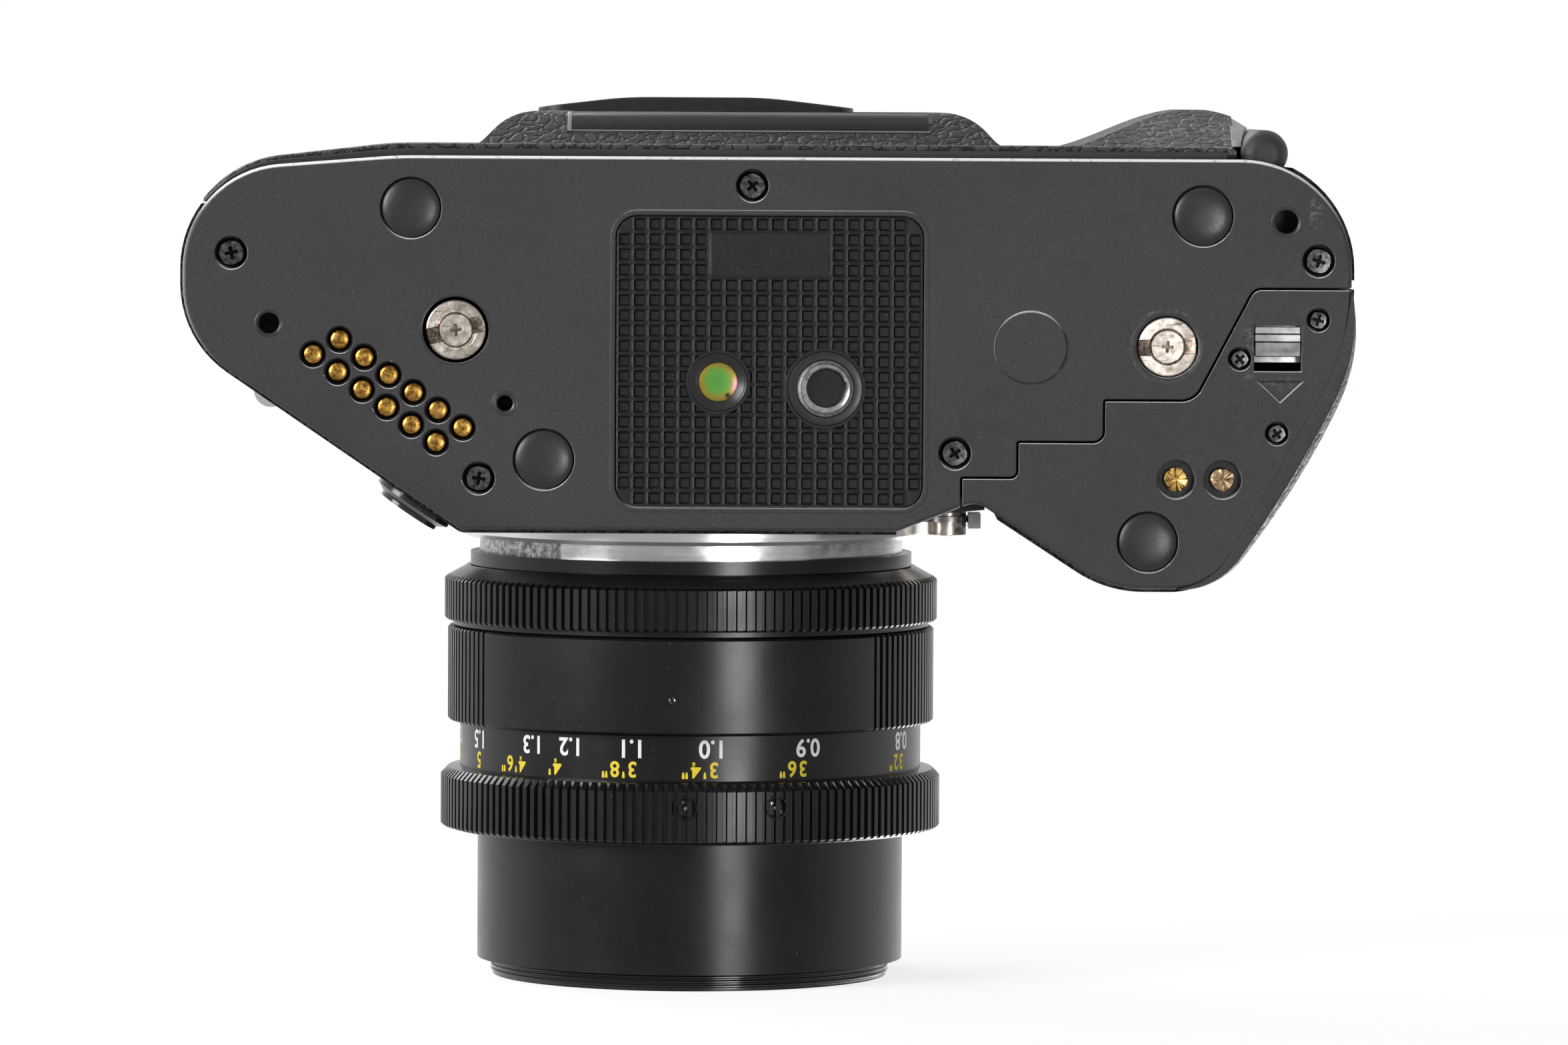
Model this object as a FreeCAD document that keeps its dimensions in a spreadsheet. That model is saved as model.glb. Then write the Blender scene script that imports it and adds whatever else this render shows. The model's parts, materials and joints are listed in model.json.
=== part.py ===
"""A 35 mm film SLR camera with a short tele lens, in millimetres.

Natural stance: +Z up, the lens points to -Y, the hand grip is at -X. The origin is the centre of
the tripod socket's mouth in the underside of the base plate. The camera stands on four rubber feet.
"""
import FreeCAD
import Part
import math
import os
import Sketcher

Vector = FreeCAD.Vector

SIZES = {
    # Plan outline of the body, at the base plate
    "left_x": 87.1, "right_x": -71.2, "back_y": 31.3, "front_y": -19.4,
    "left_back_in": 2.3, "left_back_r": 14.2, "left_front_y": 6.3, "left_front_r": 14.0,
    "back_bend_x": 58.0, "back_bend_r": 60.0, "right_back_r": 15.0, "front_left_x": 49.3,
    "front_right_x": -9.8, "front_corner_r": 1.5, "palm_y": 6.0, "palm_r": 30.0,
    "nose_in": 18.5, "nose_y": -27.0, "nose_r": 9.6, "finger_x": -38.6, "finger_r": 16.0,
    "throat_x": -20.5, "throat_y": -15.2, "throat_r": 3.0, "base_edge": 0.4,
    # Parting line of the battery grip
    "part_rear_y": 13.8, "part_rear_in": 13.2, "part_rear_r": 1.8, "part_mid_in": 21.2,
    "part_mid_y": -1.4, "part_mid_r": 3.0, "part_step_x": -37.8, "part_step_y": -7.1,
    "part_step_r": 1.5, "part_front_x": -26.1, "part_front_y": -12.0, "part_front_r": 1.0,
    "part_inner_r": 0.3, "part_edge_x": -18.5, "part_gap": 0.3,
    # Heights, each stacked on the one below
    "base_thick": 3.0, "above_film": 8.0, "deck_high": 12.5, "hump_high": 17.5, "shoe_high": 3.5,
    # Walls and skins
    "wall": 1.6, "shell_inset": 0.4, "leather_thick": 1.0, "leather_base": 1.6,
    "leather_top": 1.9, "fit_gap": 0.15, "move_gap": 0.3, "shaft_gap": 0.08,
    # Base plate features
    "foot_r": 4.0, "foot_drop": 0.5, "foot_seat": 1.0, "foot_rim": 0.15,
    "foot_back_y": 24.2, "foot_left_x": 56.2, "foot_right_x": -51.0, "foot_right_y": 23.6,
    "foot_front_x": 38.1, "foot_front_y": -9.8, "grip_foot_x": -43.8, "grip_foot_y": -20.6,
    "screw_r": 1.9, "screw_sink": 0.4, "small_screw_r": 1.3, "screw_seat": 1.8,
    "screw_back_x": 10.0, "screw_back_in": 3.9, "screw_left_in": 6.6, "screw_left_y": 18.0,
    "screw_front_x": 46.9, "screw_front_y": -12.4, "screw_throat_x": -17.6,
    "screw_throat_y": -8.7, "screw_right_in": 4.5, "screw_right_y": 17.6, "small_back_y": 9.6,
    "small_mid_in": 15.1, "small_mid_y": 4.3, "small_front_in": 10.0, "small_front_y": -5.8,
    "hole_left_in": 11.7, "hole_left_y": 8.5, "hole_left_r": 1.7, "hole_mid_x": 43.4,
    "hole_mid_y": -2.2, "hole_mid_r": 1.2, "hole_right_in": 8.9, "hole_right_y": 22.9,
    "hole_right_r": 1.9,
    "pad_left_x": 28.5, "pad_right_x": -13.3, "pad_back_y": 23.4, "pad_front_y": -16.2,
    "pad_r": 3.0, "pad_thick": 1.3, "pad_gap": 0.2,
    "boss_x": -27.8, "boss_y": 5.7, "boss_r": 4.9, "boss_high": 0.15,
    "socket_rim_r": 5.0, "socket_hole_r": 2.55, "socket_long": 5.5,
    "locate_x": 14.5, "locate_y": 0.8, "locate_rim_r": 3.9, "locate_hole_r": 2.6,
    "locate_deep": 0.9, "locate_sink": 0.2,
    "pin_first_in": 21.3, "pin_first_y": 6.3, "pin_second_in": 17.7, "pin_second_y": 4.3,
    "pin_step_x": -3.34, "pin_step_y": -2.37, "pin_r": 1.4, "pin_hole_r": 1.8, "pin_sink": 0.2,
    "pin_block_thick": 3.0, "pin_block_wide": 8.6, "pin_block_over": 3.5,
    # Film transport
    "wind_off": 19.3, "wind_y": 5.9, "wind_r": 2.5, "wind_head_r": 3.9, "wind_hole_r": 4.2,
    "rewind_off": 13.6, "rewind_y": 7.7, "rewind_r": 2.0, "coupling_r": 4.1,
    "coupling_hole_r": 4.5, "coupling_sink": 0.4, "coupling_rise": 5.8, "coupling_long": 5.0,
    "key_wide": 2.7, "key_deep": 0.9, "key_stud_r": 2.4, "key_turn": 20.0,
    "cartridge_r": 13.2, "cartridge_back": 1.3, "spool_off": 18.4, "spool_y": 9.6, "spool_r": 7.0,
    "spool_flange_r": 9.4, "spool_room_r": 11.3, "spool_flange": 1.5, "sprocket_off": 9.1,
    "sprocket_tooth": 1.1, "tooth_wide": 1.8, "tooth_high": 1.2, "tooth_in": 2.0,
    "film_pitch": 4.75, "sprocket_teeth": 6, "sprocket_room_r": 6.3, "film_in": 6.3,
    "rail_high": 0.6, "rail_wide": 2.2, "guide_wide": 1.7, "gate_wide": 36.0, "gate_high": 24.0,
    "film_wide": 35.0, "under_chassis": 4.2, "over_chassis": 2.2, "chamber_wall": 3.0,
    "chamber_roof": 2.0, "cast_side": 5.0,
    # Lens axis, mirror box, shutter and finder
    "axis_x": 18.5, "axis_z": 42.0, "flange_y": -22.0, "box_side": 1.5, "box_wall": 1.2,
    "box_down": 15.0, "box_up": 18.5, "box_front_y": -15.8, "box_film": 4.6,
    "mirror_in": 2.0, "mirror_long": 30.0, "pivot_in": 2.9, "pivot_down": 5.7,
    "mirror_start": 3.0, "mirror_thick": 1.0, "mirror_pin_r": 0.8, "mirror_arm": 1.2,
    "shutter_thick": 2.6, "curtain_thick": 0.3, "curtain_rise": 0.8, "curtain_over": 0.7,
    "screen_thick": 1.8, "screen_clear": 0.5, "screen_long": 26.0, "prism_in": 0.4,
    "prism_clear": 4.5, "prism_front_y": -8.0, "prism_back_in": 9.8,
    # Body mount and lens, radii from the inside out and places from the body forward
    "mount_bore_r": 24.5, "spigot_wall": 2.0, "mount_over": 7.5, "mount_spigot": 2.2,
    "bayonet_in": 1.3, "bayonet_thick": 2.2, "bayonet_long": 4.8, "bayonet_over": 2.0,
    "front_tube_r": 28.0, "tube_wall": 1.7, "flange_over": 0.9, "flange_thick": 1.8,
    "scale_over": 2.3, "neck_over": 3.3, "fixed_over": 4.05, "stop_over": 4.5, "focus_over": 5.0,
    "cone_long": 1.7, "stop_rib_long": 6.0, "neck_long": 0.8, "fixed_long": 13.3,
    "scale_long": 6.4, "step_long": 1.0, "focus_rib_long": 7.7, "tube_short": 2.9,
    "rib_deep": 0.55, "rib_count": 40, "fixed_smooth_deg": 52.0, "ring_gap": 0.12,
    "hood_wall": 1.5, "hood_long": 18.2, "rim_in": 0.4, "rim_wall": 1.6, "rim_long": 2.4,
    "filter_long": 3.5, "glass_in": 3.5, "glass_deep": 17.5, "front_glass_thick": 7.0,
    "front_crown": 2.2, "rear_glass_r": 17.0, "rear_glass_deep": 1.6, "rear_glass_thick": 5.0,
    "rear_crown": 0.9, "iris_back": 2.8, "iris_open_r": 14.0, "iris_thick": 2.4,
    "iris_leaf": 0.5,
    # Controls beside the mount
    "release_x": -17.3, "release_down": 2.0, "release_r": 2.7, "release_front_y": -21.6,
    "release_head": 4.2, "release_travel": 1.5, "release_stem": 5.4, "release_stem_r": 1.0,
    "lever_x": -21.1, "lever_wide": 1.7, "lever_high": 7.5, "lever_ring_r": 3.6,
    "lever_thick": 0.8, "lever_front_y": -20.6, "lever_clear": 0.8, "panel_edge_x": -22.4,
    "panel_edge_y": -17.8, "panel_down": 8.0, "panel_up": 16.0, "panel_wall": 0.8,
    "cap_r": 5.7, "cap_neck_r": 4.9, "cap_neck": 1.65, "cap_wall": 0.6, "cap_dome": 0.75,
    "cap_crown_r": 4.4, "cap_crown": 0.5, "cap_down": 24.0, "cap_along": 7.5,
    # Top deck
    "deck_end_r": 9.0, "deck_front_r": 6.0, "deck_back_r": 4.0, "hump_side": 3.1,
    "hump_top_half": 15.5, "hump_front_y": -21.4, "hump_top_front_y": -9.0,
    "hump_back_in": 1.8, "hump_slope_in": 7.5, "hump_cut": 3.5, "hump_foot": 6.0,
    "hump_waist": 5.0,
    "button_x": -47.0, "button_y": -14.5, "button_r": 4.6, "button_high": 2.4,
    "button_deep": 2.6, "button_collar_r": 7.0, "speed_x": -27.5, "speed_y": 4.0, "speed_r": 9.0,
    "dial_high": 5.5, "dial_stem": 4.0, "mode_in": 18.6, "mode_y": 9.5, "mode_r": 9.0,
    "crank_r": 7.6, "crank_high": 3.2, "crank_arm": 11.0, "crank_floor": 1.4, "crank_half": 2.2,
    "crank_pivot_y": 5.0, "crank_thick": 1.3, "crank_pin_r": 0.6, "crank_pin_half": 5.0,
    "crank_knob_r": 1.8, "fork_half": 3.0, "fork_thick": 2.0, "fork_low": 8.0, "fork_high": 5.0,
    "advance_hub_r": 8.5, "advance_hub_high": 4.6, "advance_long": 30.0, "advance_wide": 6.0,
    "advance_thick": 2.4, "advance_lift": 0.5, "advance_under": 0.8, "advance_tip": 7.0,
    "advance_turn": 118.0,
    "shoe_wide": 18.7, "shoe_rail": 1.4, "shoe_lip": 3.0, "shoe_long": 18.0, "shoe_base": 0.8,
    "shoe_lip_thick": 0.6,
    "lug_y": -1.0, "lug_up": 4.5, "lug_out": 5.6, "lug_in": 4.0, "lug_along": 34.0,
    "lug_r": 2.4, "lug_hole_r": 1.2, "lug_post_r": 1.5, "lug_thick": 2.4,
    "eye_half": 22.7, "eye_down": 5.0, "eye_roof": 7.5, "eye_out": 8.1, "eye_r": 4.0,
    "eye_flat_half": 10.0, "eye_fall": 1.6, "eye_bend_r": 60.0,
    "eye_window_half": 11.0, "eye_border": 2.0, "eye_step": 1.0, "eye_lens": 3.0,
    "eye_lens_over": 0.8, "eye_lens_sink": 0.6, "diopter_r": 4.2, "diopter_thick": 2.6,
    "diopter_off": 6.0, "diopter_deep": 3.5, "diopter_down": 0.6, "diopter_pin_r": 0.8,
    "diopter_pin": 2.0,
    # Battery grip
    "latch_in": 9.95, "latch_wide": 6.1, "latch_front_y": 4.6, "latch_back_y": 8.7,
    "latch_travel": 1.8, "latch_step": 1.9, "latch_top": 0.8, "latch_rise": 0.2,
    "arrow_x": -61.6, "arrow_y": 1.3, "arrow_half": 3.1, "arrow_long": 2.9, "arrow_deep": 0.4,
    "cell_x": -49.8, "cell_y": -11.6, "cell_r": 7.8, "cell_long": 26.8, "cell_gap": 0.3,
    "contact_a_x": -47.6, "contact_b_x": -53.9, "contact_y": -12.1, "contact_r": 1.5,
    "contact_room": 1.1, "contact_seat": 1.6, "contact_sink": 0.5,
    # Back door
    "door_lap": 0.1, "door_post": 3.8, "pocket_deep": 3.6, "pocket_rim": 0.5,
    "hinge_in": 11.7, "hinge_out": 0.8, "knuckle_r": 3.2, "knuckle_round": 2.2,
    "knuckle_floor": 2.6, "hinge_pin_r": 1.2, "web_half": 3.0,
    "knuckle_long": 12.0, "raise_high": 5.1, "raise_left_x": 47.6, "raise_right_x": -24.0,
    "raise_slope": 5.0, "raise_low_z": 5.0, "raise_full_z": 14.0, "raise_top": 6.0,
    "raise_r": 7.0, "raise_run": 6.0, "thumb_high": 5.7, "thumb_from_x": -29.0,
    "thumb_peak_in": 3.7, "thumb_drop": 0.9, "thumb_full_z": 24.0,
    "panel_left_x": 35.0, "panel_right_x": -14.3,
    "panel_low_z": 11.0, "panel_high_z": 52.0, "panel_thick": 1.9, "panel_deep": 1.1,
    "panel_edge": 0.5, "plate_over": 2.0, "plate_thick": 1.0, "plate_gap": 0.2,
    "spring_wide": 6.0, "spring_high": 10.0,
}

# Sizes that follow from the ones above
DERIVED = {
    "left_back_y": "back_y - left_back_in", "nose_x": "right_x + nose_in",
    "part_rear_x": "right_x + part_rear_in", "part_mid_x": "right_x + part_mid_in",
    "film_y": "back_y - film_in", "film_low_z": "axis_z - film_wide / 2",
    "film_high_z": "axis_z + film_wide / 2", "waist_z": "film_high_z + above_film",
    "grip_top_z": "waist_z - move_gap", "deck_z": "waist_z + deck_high",
    "roof_z": "deck_z + hump_high", "top_z": "roof_z + shoe_high",
    "leather_low_z": "base_thick + leather_base", "leather_high_z": "waist_z - leather_top",
    "chassis_low_z": "base_thick + under_chassis", "chassis_top_z": "waist_z - over_chassis",
    "pin_first_x": "left_x - pin_first_in", "pin_second_x": "left_x - pin_second_in",
    "rewind_x": "axis_x + gate_wide / 2 + rewind_off",
    "sprocket_x": "axis_x - gate_wide / 2 - sprocket_off", "spool_x": "sprocket_x - spool_off",
    "wind_x": "spool_x - wind_off", "coupling_top_z": "chassis_low_z + coupling_rise",
    "box_half": "gate_wide / 2 + box_side", "box_low_z": "axis_z - box_down",
    "box_top_z": "axis_z + box_up", "box_back_y": "film_y - box_film",
    "mirror_half": "gate_wide / 2 - mirror_in", "mirror_pivot_y": "box_back_y - pivot_in",
    "mirror_pivot_z": "box_top_z - pivot_down", "curtain_high": "gate_high + 2 * curtain_rise",
    "screen_half": "box_half - screen_clear", "prism_half": "mirror_half - prism_in",
    "prism_low_z": "box_top_z + screen_thick + move_gap", "prism_top_z": "roof_z - prism_clear",
    "prism_back_y": "back_y - prism_back_in",
    "mount_spigot_r": "mount_bore_r + spigot_wall", "mount_r": "mount_bore_r + mount_over",
    "bayonet_spigot_r": "mount_bore_r - move_gap", "bayonet_bore_r": "rear_glass_r + bayonet_over",
    "bayonet_front_y": "flange_y - bayonet_thick", "rear_flange_y": "bayonet_front_y - flange_thick",
    "tube_bore_r": "front_tube_r + move_gap", "tube_r": "tube_bore_r + tube_wall",
    "rear_flange_r": "tube_r + flange_over", "bayonet_r": "rear_flange_r - bayonet_in",
    "scale_r": "tube_r + scale_over", "stop_neck_r": "tube_r + neck_over",
    "fixed_r": "tube_r + fixed_over", "stop_ring_r": "tube_r + stop_over",
    "focus_r": "tube_r + focus_over", "stop_cone_y": "rear_flange_y - cone_long",
    "stop_rib_y": "stop_cone_y - stop_rib_long", "stop_front_y": "stop_rib_y - neck_long",
    "fixed_front_y": "stop_front_y - fixed_long", "scale_front_y": "fixed_front_y - scale_long",
    "focus_rib_y": "scale_front_y - step_long", "focus_front_y": "focus_rib_y - focus_rib_long",
    "tube_front_y": "focus_front_y + tube_short", "hood_bore_r": "front_tube_r + move_gap",
    "hood_r": "hood_bore_r + hood_wall", "hood_front_y": "focus_front_y - hood_long",
    "rim_front_y": "hood_front_y - rim_long", "front_rim_r": "front_tube_r - rim_in",
    "filter_r": "front_rim_r - rim_wall", "front_glass_r": "filter_r - glass_in",
    "front_glass_y": "rim_front_y + glass_deep", "rear_glass_y": "rear_flange_y - rear_glass_deep",
    "iris_y": "fixed_front_y + iris_back",
    "release_z": "axis_z - release_down", "panel_low": "release_z - panel_down",
    "panel_high": "release_z + panel_up", "cap_z": "axis_z - cap_down",
    "hump_half": "box_half + hump_side", "hump_back_y": "back_y - hump_back_in",
    "hump_top_back_y": "hump_back_y - hump_slope_in", "mode_x": "left_x - mode_in",
    "lug_z": "waist_z + lug_up", "eye_low_z": "deck_z - eye_down",
    "eye_high_z": "roof_z - eye_roof", "eye_back_y": "back_y + eye_out",
    "eye_window_high": "eye_high_z - eye_low_z - 2 * eye_border",
    "latch_x": "right_x + latch_in", "door_front_y": "film_y - door_lap",
    "hinge_x": "right_x + hinge_in", "hinge_y": "back_y + hinge_out",
    "door_right_x": "hinge_x + door_post", "door_pocket_y": "film_y + pocket_deep",
    "raise_y": "back_y + raise_high", "thumb_y": "back_y + thumb_high",
    "thumb_peak_x": "door_right_x + thumb_peak_in", "plate_half": "gate_wide / 2 + plate_over",
}

doc = FreeCAD.newDocument("slr_camera")
sheet = doc.addObject("Spreadsheet::Sheet", "Sizes")
for row, (alias, value) in enumerate({**SIZES, **DERIVED}.items(), start=1):
    sheet.set(f"A{row}", alias)
    sheet.set(f"B{row}", f"={value}")
    sheet.setAlias(f"B{row}", alias)
doc.recompute()


class Size(float):
    """A length that also keeps the sheet expression it was worked out from."""

    def __new__(cls, value, text):
        made = float.__new__(cls, value)
        made.text = text
        return made

    def __add__(self, other):
        return Size(float(self) + float(other), f"({self.text} + {text_of(other)})")

    def __radd__(self, other):
        return Size(float(other) + float(self), f"({text_of(other)} + {self.text})")

    def __sub__(self, other):
        return Size(float(self) - float(other), f"({self.text} - {text_of(other)})")

    def __rsub__(self, other):
        return Size(float(other) - float(self), f"({text_of(other)} - {self.text})")

    def __mul__(self, other):
        return Size(float(self) * float(other), f"({self.text} * {text_of(other)})")

    __rmul__ = __mul__

    def __truediv__(self, other):
        return Size(float(self) / float(other), f"({self.text} / {text_of(other)})")

    def __neg__(self):
        return Size(-float(self), f"(0 - {self.text})")


def text_of(value):
    """The expression text of a size, or the digits of a plain number."""
    return value.text if isinstance(value, Size) else repr(float(value))


class Sheet:
    """Reads each alias of the sheet as a Size."""

    def __getattr__(self, alias):
        return Size(sheet.get(alias), f"Sizes.{alias}")


S = Sheet()
NODES = []
SPROCKET_R = S.film_pitch * S.sprocket_teeth / (2 * math.pi)
SPROCKET_Y = S.film_y - SPROCKET_R


def bind(thing, prop, value):
    """Ties a property to the sheet, or sets it where the value is a plain number."""
    thing.setExpression(prop, text_of(value))


def place(thing, x=0.0, y=0.0, z=0.0):
    for letter, value in zip("xyz", (x, y, z)):
        bind(thing, f"Placement.Base.{letter}", value)
    return thing


def node(thing, label):
    """Names a sub-part and puts it on the list that is written out."""
    thing.Label = label
    NODES.append(thing)
    return thing


def formed(label, shape):
    """A sub-part whose shape is worked out from the sheet with solid operations."""
    thing = doc.addObject("Part::Feature", label)
    thing.Shape = shape
    return node(thing, label)


def turned(label, profile, centre, upright=False, keep=True):
    """A body turned about Y, or about Z when upright, from a closed profile of (radius, along)."""
    body = doc.addObject("PartDesign::Body", label if keep else label + "_blank")
    sketch = body.newObject("Sketcher::SketchObject", label + "_profile")
    role = "XZ_Plane" if upright else "XY_Plane"
    plane = next(item for item in body.Origin.OriginFeatures if item.Role == role)
    sketch.AttachmentSupport = [(plane, "")]
    sketch.MapMode = "FlatFace"
    count = len(profile)
    for index in range(count):
        start, end = profile[index], profile[(index + 1) % count]
        sketch.addGeometry(Part.LineSegment(Vector(*start, 0), Vector(*end, 0)), False)
    for index in range(count):
        sketch.addConstraint(Sketcher.Constraint("Coincident", index, 2, (index + 1) % count, 1))
    for index, (radius, along) in enumerate(profile):
        if radius == 0:
            sketch.addConstraint(Sketcher.Constraint("PointOnObject", index, 1, -2))
        else:
            tie = sketch.addConstraint(Sketcher.Constraint("DistanceX", index, 1, float(radius)))
            sketch.setExpression(f"Constraints[{tie}]", text_of(radius))
        tie = sketch.addConstraint(Sketcher.Constraint("DistanceY", index, 1, float(along)))
        sketch.setExpression(f"Constraints[{tie}]", text_of(along))
    turn = body.newObject("PartDesign::Revolution", label + "_turn")
    turn.Profile = sketch
    turn.ReferenceAxis = (sketch, ["V_Axis"])
    turn.Angle = 360
    place(body, *centre)
    return node(body, label) if keep else body


def prim_box(name, low, high):
    """A box between two corners, bound to the sheet."""
    thing = doc.addObject("Part::Box", name)
    for prop, first, last in zip(("Length", "Width", "Height"), low, high):
        bind(thing, prop, last - first)
    return place(thing, *low)


def block(x0, x1, y0, y1, z0, z1):
    return Part.makeBox(x1 - x0, y1 - y0, z1 - z0, Vector(x0, y0, z0))


def post(x, y, z0, z1, radius):
    return Part.makeCylinder(radius, z1 - z0, Vector(x, y, z0))


def bar_y(x, z, y0, y1, radius):
    return Part.makeCylinder(radius, y1 - y0, Vector(x, y0, z), Vector(0, 1, 0))


def outline(corners):
    """A closed face through corners (a, b, radius) in a plane, each corner rounded by an arc."""
    points = [Vector(float(a), float(b), 0) for a, b, radius in corners]
    count = len(points)
    edges = []
    last = None
    first = None
    for index, (a, b, radius) in enumerate(corners):
        here = points[index]
        back = (points[index - 1] - here).normalize()
        ahead = (points[(index + 1) % count] - here).normalize()
        if radius > 0:
            half = back.getAngle(ahead) / 2
            reach = radius / math.tan(half)
            start = here + back * reach
            end = here + ahead * reach
            middle_way = (back + ahead).normalize()
            middle = here + middle_way * (radius / math.sin(half) - radius)
        else:
            start = end = here
        if last is not None and last.distanceToPoint(start) > 1e-6:
            edges.append(Part.makeLine(last, start))
        if radius > 0:
            edges.append(Part.Arc(start, middle, end).toShape())
        first = first or start
        last = end
    if last.distanceToPoint(first) > 1e-6:
        edges.append(Part.makeLine(last, first))
    return Part.Face(Part.Wire(edges))


def raised(face, z0, z1):
    """A face in the XY plane made into a prism between two heights."""
    lifted = face.copy()
    lifted.translate(Vector(0, 0, z0))
    return lifted.extrude(Vector(0, 0, z1 - z0))


def along_x(corners, x0, x1):
    """A (y, z) outline made into a prism along X."""
    face = outline(corners)
    face.rotate(Vector(0, 0, 0), Vector(1, 1, 1), 120)
    face.translate(Vector(x0, 0, 0))
    return face.extrude(Vector(x1 - x0, 0, 0))


def along_y(corners, y0, y1):
    """An (x, z) outline made into a prism along Y."""
    face = outline(corners)
    face.rotate(Vector(0, 0, 0), Vector(1, 0, 0), 90)
    face.translate(Vector(0, y0, 0))
    return face.extrude(Vector(0, y1 - y0, 0))


def joined(first, *rest):
    return first.multiFuse(list(rest)).removeSplitter()


def drilled(first, *tools):
    return first.cut(Part.makeCompound(list(tools)))


# Plan faces that the body pieces share
BODY = outline([
    (S.left_x, S.left_back_y, S.left_back_r),
    (S.back_bend_x, S.back_y, S.back_bend_r),
    (S.right_x, S.back_y, S.right_back_r),
    (S.right_x, S.palm_y, S.palm_r),
    (S.nose_x, S.nose_y, S.nose_r),
    (S.finger_x, S.nose_y, S.finger_r),
    (S.throat_x, S.throat_y, S.throat_r),
    (S.front_right_x, S.front_y, S.front_corner_r),
    (S.front_left_x, S.front_y, S.front_corner_r),
    (S.left_x, S.left_front_y, S.left_front_r),
])
FAR = 120.0
GRIP_LINE = [
    (S.part_rear_x, S.part_rear_y, S.part_rear_r),
    (S.part_mid_x, S.part_mid_y, S.part_mid_r),
    (S.part_step_x, S.part_mid_y, S.part_inner_r),
    (S.part_step_x, S.part_step_y, S.part_step_r),
    (S.part_front_x, S.part_step_y, S.part_inner_r),
    (S.part_front_x, S.part_front_y, S.part_front_r),
    (S.part_edge_x, S.part_front_y, S.part_inner_r),
]
GRIP_SIDE = outline(
    [(-FAR, S.part_rear_y, 0)] + GRIP_LINE + [(S.part_edge_x, -FAR, 0), (-FAR, -FAR, 0)])


def body_face(grow):
    return BODY.makeOffset2D(grow) if grow else BODY


def grip_side(grow):
    """The grip's side of the parting line, grown towards the body or drawn back from it."""
    return GRIP_SIDE.makeOffset2D(grow, 2)


def slanted_front(along, out, z):
    """A point on the slanted left front: along it from its inner end, and out from its surface."""
    start = Vector(S.front_left_x, S.front_y, z)
    way = (Vector(S.left_x, S.left_front_y, z) - start).normalize()
    away = Vector(way.y, -way.x, 0)
    return start + way * along + away * out, away


# Places of screws and plain holes, the outer ones from the plate's ends
LARGE_SCREWS = [
    (S.screw_back_x, S.back_y - S.screw_back_in), (S.left_x - S.screw_left_in, S.screw_left_y),
    (S.screw_front_x, S.screw_front_y), (S.screw_throat_x, S.screw_throat_y),
    (S.right_x + S.screw_right_in, S.screw_right_y)]
SMALL_SCREWS = [
    (S.right_x + S.screw_right_in, S.small_back_y), (S.right_x + S.small_mid_in, S.small_mid_y),
    (S.right_x + S.small_front_in, S.small_front_y)]
ROUND_HOLES = [
    (S.left_x - S.hole_left_in, S.hole_left_y, S.hole_left_r),
    (S.hole_mid_x, S.hole_mid_y, S.hole_mid_r),
    (S.right_x + S.hole_right_in, S.hole_right_y, S.hole_right_r)]
FEET = [
    (S.foot_left_x, S.foot_back_y),
    (S.foot_right_x, S.foot_right_y),
    (S.foot_front_x, S.foot_front_y),
]
PINS = [
    (x + S.pin_step_x * step, y + S.pin_step_y * step)
    for x, y in ((S.pin_first_x, S.pin_first_y), (S.pin_second_x, S.pin_second_y))
    for step in range(6)
]


def foot_seat(x, y):
    return post(x, y, -1, S.foot_seat, S.foot_r + S.foot_rim)


def screw_holes(places, radius):
    """Counterbored holes for screws put in from below."""
    heads = [post(x, y, -1, S.screw_seat, radius + S.move_gap) for x, y in places]
    shanks = [post(x, y, -1, S.base_thick + 1, radius * 0.6) for x, y in places]
    return heads + shanks


def pad_face(shrink):
    left, right = S.pad_left_x - shrink, S.pad_right_x + shrink
    back, front = S.pad_back_y - shrink, S.pad_front_y + shrink
    radius = S.pad_r - shrink
    return outline([(left, back, radius), (right, back, radius), (right, front, radius),
                    (left, front, radius)])


def softened(plate):
    """The base prism with its lower outer edge cut back by a small chamfer."""
    flare = Part.makeLoft([at_height(body_face(-S.base_edge), 0),
                           at_height(body_face(0), S.base_edge)], True, True)
    above = raised(body_face(1), S.base_edge, S.base_thick + 1)
    return plate.common(joined(flare, above))


def at_height(face, z):
    wire = face.OuterWire.copy()
    wire.translate(Vector(0, 0, z))
    return wire


def base_plate():
    plate = raised(body_face(0), 0, S.base_thick).cut(
        raised(grip_side(S.part_gap / 2), -1, S.base_thick + 1))
    plate = softened(plate)
    boss = post(S.boss_x, S.boss_y, -S.boss_high, 1, S.boss_r)
    tools = [foot_seat(x, y) for x, y in FEET]
    tools += screw_holes(LARGE_SCREWS, S.screw_r)
    tools += [post(x, y, -1, S.base_thick + 1, radius) for x, y, radius in ROUND_HOLES]
    tools += [post(x, y, -1, S.base_thick + 1, S.pin_hole_r) for x, y in PINS]
    tools += [
        raised(pad_face(0), -1, S.pad_thick),
        post(0, 0, -1, S.base_thick + 1, S.socket_rim_r + S.fit_gap),
        post(S.locate_x, S.locate_y, -1, S.base_thick + 1, S.locate_rim_r + S.fit_gap),
        post(S.wind_x, S.wind_y, -1, S.base_thick + 1, S.wind_hole_r),
        post(S.rewind_x, S.rewind_y, -1, S.base_thick + 1, S.coupling_hole_r),
    ]
    formed("base_plate", drilled(joined(plate, boss), *tools))


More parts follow.
